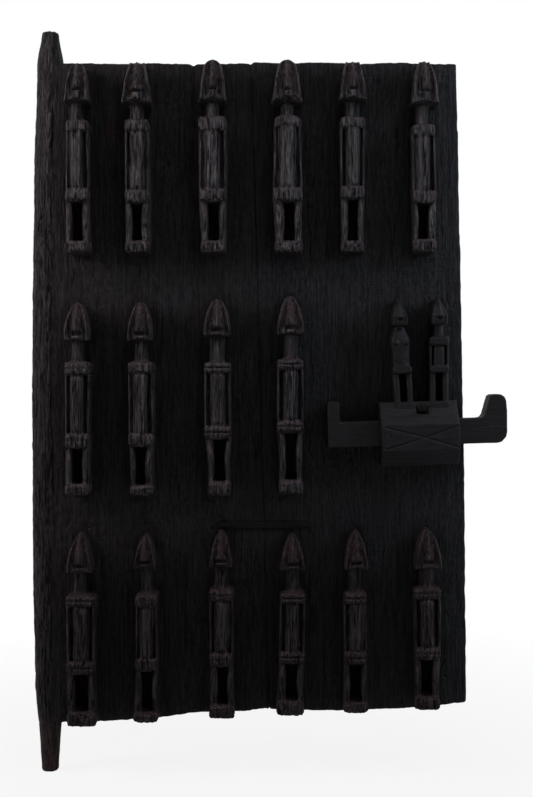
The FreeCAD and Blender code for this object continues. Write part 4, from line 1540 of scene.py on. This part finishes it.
        gloss = add_node(tree, "MapRange", {0: marks, 1: 0.3, 2: 0.7, 3: self.dull,
                                            4: mix(self.dull, self.satin, 0.6)})
        polish = add_node(tree, "Math", {0: wear, 1: self.dull - self.satin}, operation="MULTIPLY")
        gloss = add_node(tree, "Math", {0: gloss, 1: polish}, operation="SUBTRACT")
        lines = add_node(tree, "Math", {0: grain, 1: 0.5}, operation="MULTIPLY")
        lines = add_node(tree, "Math", {0: fibre, 1: 0.5, 2: lines}, operation="MULTIPLY_ADD")
        sheen = add_node(tree, "MapRange", {0: lines, 1: 0.43, 2: 0.56,
                                             3: self.specular * (1 - self.sooty_grain),
                                             4: self.specular * (1 + 0.6 * self.sooty_grain)})
        relief = add_node(tree, "Math", {0: grain, 1: 0.45}, operation="MULTIPLY")
        relief = add_node(tree, "Math", {0: marks, 1: 0.8, 2: relief}, operation="MULTIPLY_ADD")
        relief = add_node(tree, "Math", {0: fibre, 1: 0.75, 2: relief}, operation="MULTIPLY_ADD")
        if self.chatter:
            band = add_node(tree, "Math", {0: chatter, 1: open_patches}, operation="MULTIPLY")
            relief = add_node(tree, "Math", {0: band, 1: self.chatter, 2: relief}, operation="MULTIPLY_ADD")
        relief = add_node(tree, "Math", {0: crack, 1: -0.9, 2: relief}, operation="MULTIPLY_ADD")
        bump = add_node(tree, "Bump", {"Height": relief, "Strength": 0.9, "Distance": self.relief})
        tree.links.new(colour.outputs[2], shader.inputs["Base Color"])
        tree.links.new(gloss.outputs[0], shader.inputs["Roughness"])
        tree.links.new(bump.outputs["Normal"], shader.inputs["Normal"])
        tree.links.new(sheen.outputs[0], shader.inputs["Specular IOR Level"])
        return material


@dataclass(frozen=True)
class IronFinish:
    """Hand-forged iron, dark with fire scale and browned by rust in its pits.

    The eye gets a near-black surface with a broken gloss and slightly paler edges. Hammer marks and
    pits are given by their width in millimetres.
    """

    name: str = "forged_iron_dark_scale"
    scale: str = "#131112"
    rust: str = "#1a1412"
    bare: str = "#46423f"
    hammer: float = 4.5
    pit: float = 1.1
    metallic: float = 0.75
    relief: float = 0.0006

    def build(self) -> bpy.types.Material:
        """Make the material.

        Returns:
            The material, patterned in object coordinates.
        """
        material = bpy.data.materials.new(self.name)
        material.use_nodes = True
        tree = material.node_tree
        shader = tree.nodes["Principled BSDF"]
        place = add_node(tree, "TexCoord").outputs["Object"]
        hammered, pitted = (add_node(tree, "TexNoise", {"Vector": place, "Scale": 1 / (size * METRES),
                                                        "Detail": detail})
                            for size, detail in ((self.hammer, 2), (self.pit, 3)))
        edge = add_node(tree, "NewGeometry").outputs["Pointiness"]
        rusty = add_node(tree, "MapRange", {0: hammered, 1: 0.42, 2: 0.6})
        bared = add_node(tree, "MapRange", {0: edge, 1: 0.52, 2: 0.62})
        colour = add_node(tree, "Mix", {0: rusty, 6: linear(self.scale), 7: linear(self.rust)},
                          data_type="RGBA")
        colour = add_node(tree, "Mix", {0: bared, 6: colour, 7: linear(self.bare)}, data_type="RGBA")
        gloss = add_node(tree, "MapRange", {0: pitted, 1: 0.3, 2: 0.7, 3: 0.42, 4: 0.72})
        relief = add_node(tree, "Math", {0: hammered, 1: pitted}, operation="ADD")
        bump = add_node(tree, "Bump", {"Height": relief, "Strength": 0.6, "Distance": self.relief})
        tree.links.new(colour.outputs[2], shader.inputs["Base Color"])
        tree.links.new(gloss.outputs[0], shader.inputs["Roughness"])
        tree.links.new(bump.outputs["Normal"], shader.inputs["Normal"])
        shader.inputs["Metallic"].default_value = self.metallic
        return material


@dataclass
class Studio:
    """Pale floor, soft lights left, right and high in front, and the camera at the photo's angle.

    Places are in metres.
    """

    camera_place: tuple[float, float, float] = (0.2622, -1.315, 0.4503)
    sight_height: float = 0.9564
    sight_distance: float = 1.3
    sensor: float = 36.0
    ambient: float = 0.05
    sheen: float = 0.55
    sheen_range: tuple[float, float] = (-0.7, 0.1)
    floor_reach: float = 6.0
    floor_colour: str = "#ececec"
    door_middle: tuple[float, float, float] = (0.26, 0.0, 0.0)

    def add_camera(self) -> None:
        """Add the camera, level and square to the leaf; its sensor's width is for the picture's height."""
        data = bpy.data.cameras.new("camera")
        data.sensor_width = self.sensor
        data.lens = self.sensor * self.sight_distance / self.sight_height
        camera = bpy.data.objects.new("camera", data)
        camera.location = self.camera_place
        camera.rotation_euler = (math.radians(90), 0, 0)
        bpy.context.scene.collection.objects.link(camera)
        bpy.context.scene.camera = camera

    def add_light(self, name: str, place: Sequence[float], target: Sequence[float],
                  size: tuple[float, float], power: float, colour: str) -> None:
        """Add a soft rectangular light.

        Args:
            name: the light's name.
            place: where it stands.
            target: where it looks.
            size: its width and height.
            power: its strength in watts.
            colour: its colour.
        """
        data = bpy.data.lights.new(name, "AREA")
        data.shape = "RECTANGLE"
        data.size, data.size_y = size
        data.energy = power
        data.color = linear(colour)[:3]
        light = bpy.data.objects.new(name, data)
        light.location = place
        light.rotation_euler = (Vector(target) - Vector(place)).to_track_quat("-Z", "Y").to_euler()
        bpy.context.scene.collection.objects.link(light)

    def add_lights(self) -> None:
        """Add a light beside each edge of the door, and a weaker one high in front of it."""
        self.add_light("left_softbox", place=(-0.78, -0.27, 1.0), target=(0.12, 0.0, 0.66),
                       size=(0.25, 0.6), power=5.6, colour="#ffeef4")
        self.add_light("right_softbox", place=(1.2, -0.42, 0.95), target=(0.4, 0.0, 0.62),
                       size=(0.3, 0.6), power=4.6, colour="#e0e8ff")
        self.add_light("high_softbox", place=(0.55, -0.9, 1.7), target=(0.3, 0.0, 0.68),
                       size=(0.9, 0.4), power=3.8, colour="#fffaf7")

    def seen_share(self, tree: bpy.types.NodeTree, glossy: object) -> bpy.types.Node:
        """Share in which a ray meets the pale background, from what it is.

        Args:
            tree: node tree that gets the nodes.
            glossy: share for rays that come off a glossy surface.

        Returns:
            Node that gives 1 for the camera and through glass, and the glossy share for reflections.
        """
        path = add_node(tree, "LightPath")
        shiny = add_node(tree, "Math", {0: path.outputs["Is Glossy Ray"], 1: glossy}, operation="MULTIPLY")
        clear = add_node(tree, "Math", {0: path.outputs["Is Camera Ray"],
                                        1: path.outputs["Is Transmission Ray"]}, operation="MAXIMUM")
        return add_node(tree, "Math", {0: clear, 1: shiny}, operation="MAXIMUM")

    def add_world(self) -> None:
        """Make the surroundings: white to the eye, pale behind and beside to gloss, weak light elsewhere."""
        world = bpy.data.worlds.new("studio")
        world.use_nodes = True
        tree = world.node_tree
        tree.nodes.clear()
        way = add_node(tree, "TexCoord").outputs["Generated"]
        away = add_node(tree, "SeparateXYZ", {0: way}).outputs["Y"]
        start, end = self.sheen_range
        sheen = add_node(tree, "MapRange", {0: away, 1: start, 2: end, 3: 0.0, 4: self.sheen})
        dim = add_node(tree, "Background", {"Color": (1, 1, 1, 1), "Strength": self.ambient})
        white = add_node(tree, "Background", {"Color": (1, 1, 1, 1), "Strength": 1.0})
        choice = add_node(tree, "MixShader", {0: self.seen_share(tree, sheen), 1: dim, 2: white})
        add_node(tree, "OutputWorld", {"Surface": choice})
        bpy.context.scene.world = world

    def add_floor(self) -> None:
        """Add the plain pale floor under the lower pivot, which keeps the door's soft shadow."""
        shape = bmesh.new()
        bmesh.ops.create_grid(shape, x_segments=1, y_segments=1, size=self.floor_reach)
        data = bpy.data.meshes.new("floor")
        shape.to_mesh(data)
        shape.free()
        floor = bpy.data.objects.new("floor", data)
        bpy.context.scene.collection.objects.link(floor)
        material = bpy.data.materials.new("pale_floor")
        material.use_nodes = True
        tree = material.node_tree
        tree.nodes.clear()
        plain = add_node(tree, "BsdfDiffuse", {"Color": linear(self.floor_colour)})
        white = add_node(tree, "Emission", {"Color": (1, 1, 1, 1), "Strength": 1.0})
        place = add_node(tree, "TexCoord").outputs["Object"]
        away = add_node(tree, "VectorMath", {0: place, 1: self.door_middle}, operation="DISTANCE")
        share = add_node(tree, "MapRange", {0: away, 1: 0.25, 2: 0.9, 3: 0.88, 4: 1.0})
        glossy = add_node(tree, "MapRange", {0: away, 1: 0.4, 2: 1.8, 3: 0.05, 4: 0.7})
        seen = add_node(tree, "Math", {0: self.seen_share(tree, glossy), 1: share}, operation="MULTIPLY")
        choice = add_node(tree, "MixShader", {0: seen, 1: plain, 2: white})
        add_node(tree, "OutputMaterial", {"Surface": choice})
        data.materials.append(material)

    def build(self) -> None:
        """Set up the whole studio."""
        self.add_camera()
        self.add_lights()
        self.add_world()
        self.add_floor()
        bpy.context.scene.view_settings.view_transform = "Standard"


@dataclass
class Door:
    """The whole door: its finishes, planks, lock and iron.

    Staples are given by node, height and whether they face back, and the nails behind the lock by node,
    place across and seed.
    """

    lock: LockFrame = field(default_factory=LockFrame)
    staples: tuple[tuple[str, float, bool], ...] = (
        ("front_staple", 299.3, False), ("upper_back_staple", 724.3, True),
        ("lower_back_staple", 169.3, True))
    back_nails: tuple[tuple[str, float, float], ...] = (
        ("lock_nail_left", -28.0, 74.0), ("lock_nail_right", 34.0, 77.0))

    def build(self) -> None:
        """Make the finishes and build every piece."""
        # Adzed hardwood, black from hearth smoke: dull, with shallow marks of the blade across the grain
        plank = WoodFinish(
            "adzed_hardwood_smoke_blackened", dark="#050404", mid="#120f10", light="#231d20",
            rubbed="#342c2f", chatter=0.55, dull=0.72, satin=0.48, specular=0.28, relief=0.0028,
            warm_spots=((100.2, 814.0, 10.0, 0.5), (104.2, 799.0, 7.0, 0.4), (74.2, 772.0, 9.0, 0.35),
                        (447.2, 760.0, 9.0, 0.3)))
        # The same wood on the lock's side, where it reads cooler and greyer
        far_plank = replace(plank, name="adzed_hardwood_smoke_greyed", dark="#050606", mid="#101213",
                            light="#1e2024", rubbed="#2e2e35")
        # Split and rounded hardwood: deep bark-like furrows, a purple-brown cast, bare at the worn foot
        post = WoodFinish(
            "split_hardwood_smoke_blackened", dark="#050304", mid="#150e11", light="#2d2228",
            rubbed="#51424a", fibre_size=(2.0, 9.0), dull=0.6, satin=0.4, specular=0.4,
            sooty_grain=0.7, relief=0.0075,
            warm_spots=((-2.8, 780.0, 7.0, 0.5), (6.2, 466.0, 9.0, 0.4)), bare_foot=(24.0, 76.0)).build()
        # Carved hardwood, rubbed by hands: a satin sheen in streaks between soot-filled grain
        carved = WoodFinish(
            "carved_hardwood_hand_rubbed", dark="#080506", mid="#191213", light="#2e2225",
            rubbed="#6e5b60", grain_size=(1.7, 42.0), fibre_size=(1.7, 13.0), dull=0.56, satin=0.27,
            specular=0.48, sooty_grain=0.85, dust_and_top_light=0.34, relief=0.0042,
            warm_spots=((100.5, 812.0, 9.0, 0.6), (103.0, 796.0, 7.0, 0.5)))
        # The lower row is a browner copy with less sheen; its paler tones are darkened as painted shade for
        # the dimmer light low on the door
        lower_row_brown_shaded = replace(carved, name="carved_hardwood_lower_row_brown_shaded", dark="#080404", mid="#1a1010",
                          light="#2c1c1a", rubbed="#58423f", satin=0.36, specular=0.4, warm_spots=())
        # The lock's wood is denser and smoothly cut: even slate grey, nearly without relief
        lock_wood = WoodFinish(
            "carved_lock_wood_smoke_grey", dark="#08090b", mid="#0f1012", light="#17181b",
            rubbed="#323238", grain=ACROSS, grain_size=(1.8, 40.0), crack_size=(14.0, 160.0),
            dull=0.62, satin=0.42, specular=0.28, sooty_grain=0.15, relief=0.0008).build()
        hinge_side = [carving for carving in FIGURES if carving.node == "hinge_plank"]
        lock_side = [carving for carving in FIGURES if carving.node == "lock_plank"]
        figure_finishes = {Row.UPPER: carved.build(), Row.LOWER: lower_row_brown_shaded.build()}
        figure_finishes[Row.MIDDLE] = figure_finishes[Row.UPPER]
        Plank("hinge_plank", HINGE_OUTLINE, hinge_side, joint_at,
              cracks=((175.2, 856.0, 644.0, 1.6),)).build(plank.build(), figure_finishes)
        HingePost().build(post)
        Plank("lock_plank", LOCK_OUTLINE, lock_side, joint_at, seed=5.0,
              rough_bands=(594.3, 352.3)).build(far_plank.build(), figure_finishes)
        case = LockCase(self.lock)
        case.build(lock_wood)
        Bolt(self.lock).build(lock_wood)
        for name, centre in zip(("tumbler_left", "tumbler_right"), case.tumbler_centres):
            Tumbler(self.lock, name, centre).build(lock_wood)
        iron = IronFinish().build()
        for node, height, facing_back in self.staples:
            Staple(node, height, facing_back).build(iron)
        SquareNail(self.lock, "lock_nail_front", across=4.0, up=29.5, head_face=-34.0, length=58.0,
                   points_back=True).build(iron)
        for node, across, seed in self.back_nails:
            SquareNail(self.lock, node, across, up=-27.0, head_face=30.0, length=52.0,
                       points_back=False, seed=seed).build(iron)
        RoundNail().build(iron)


def main() -> None:
    """Load the frame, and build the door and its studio."""
    logging.basicConfig(level=logging.INFO, format="%(message)s")
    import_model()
    Studio().build()
    Door().build()


if __name__ == "__main__":
    main()
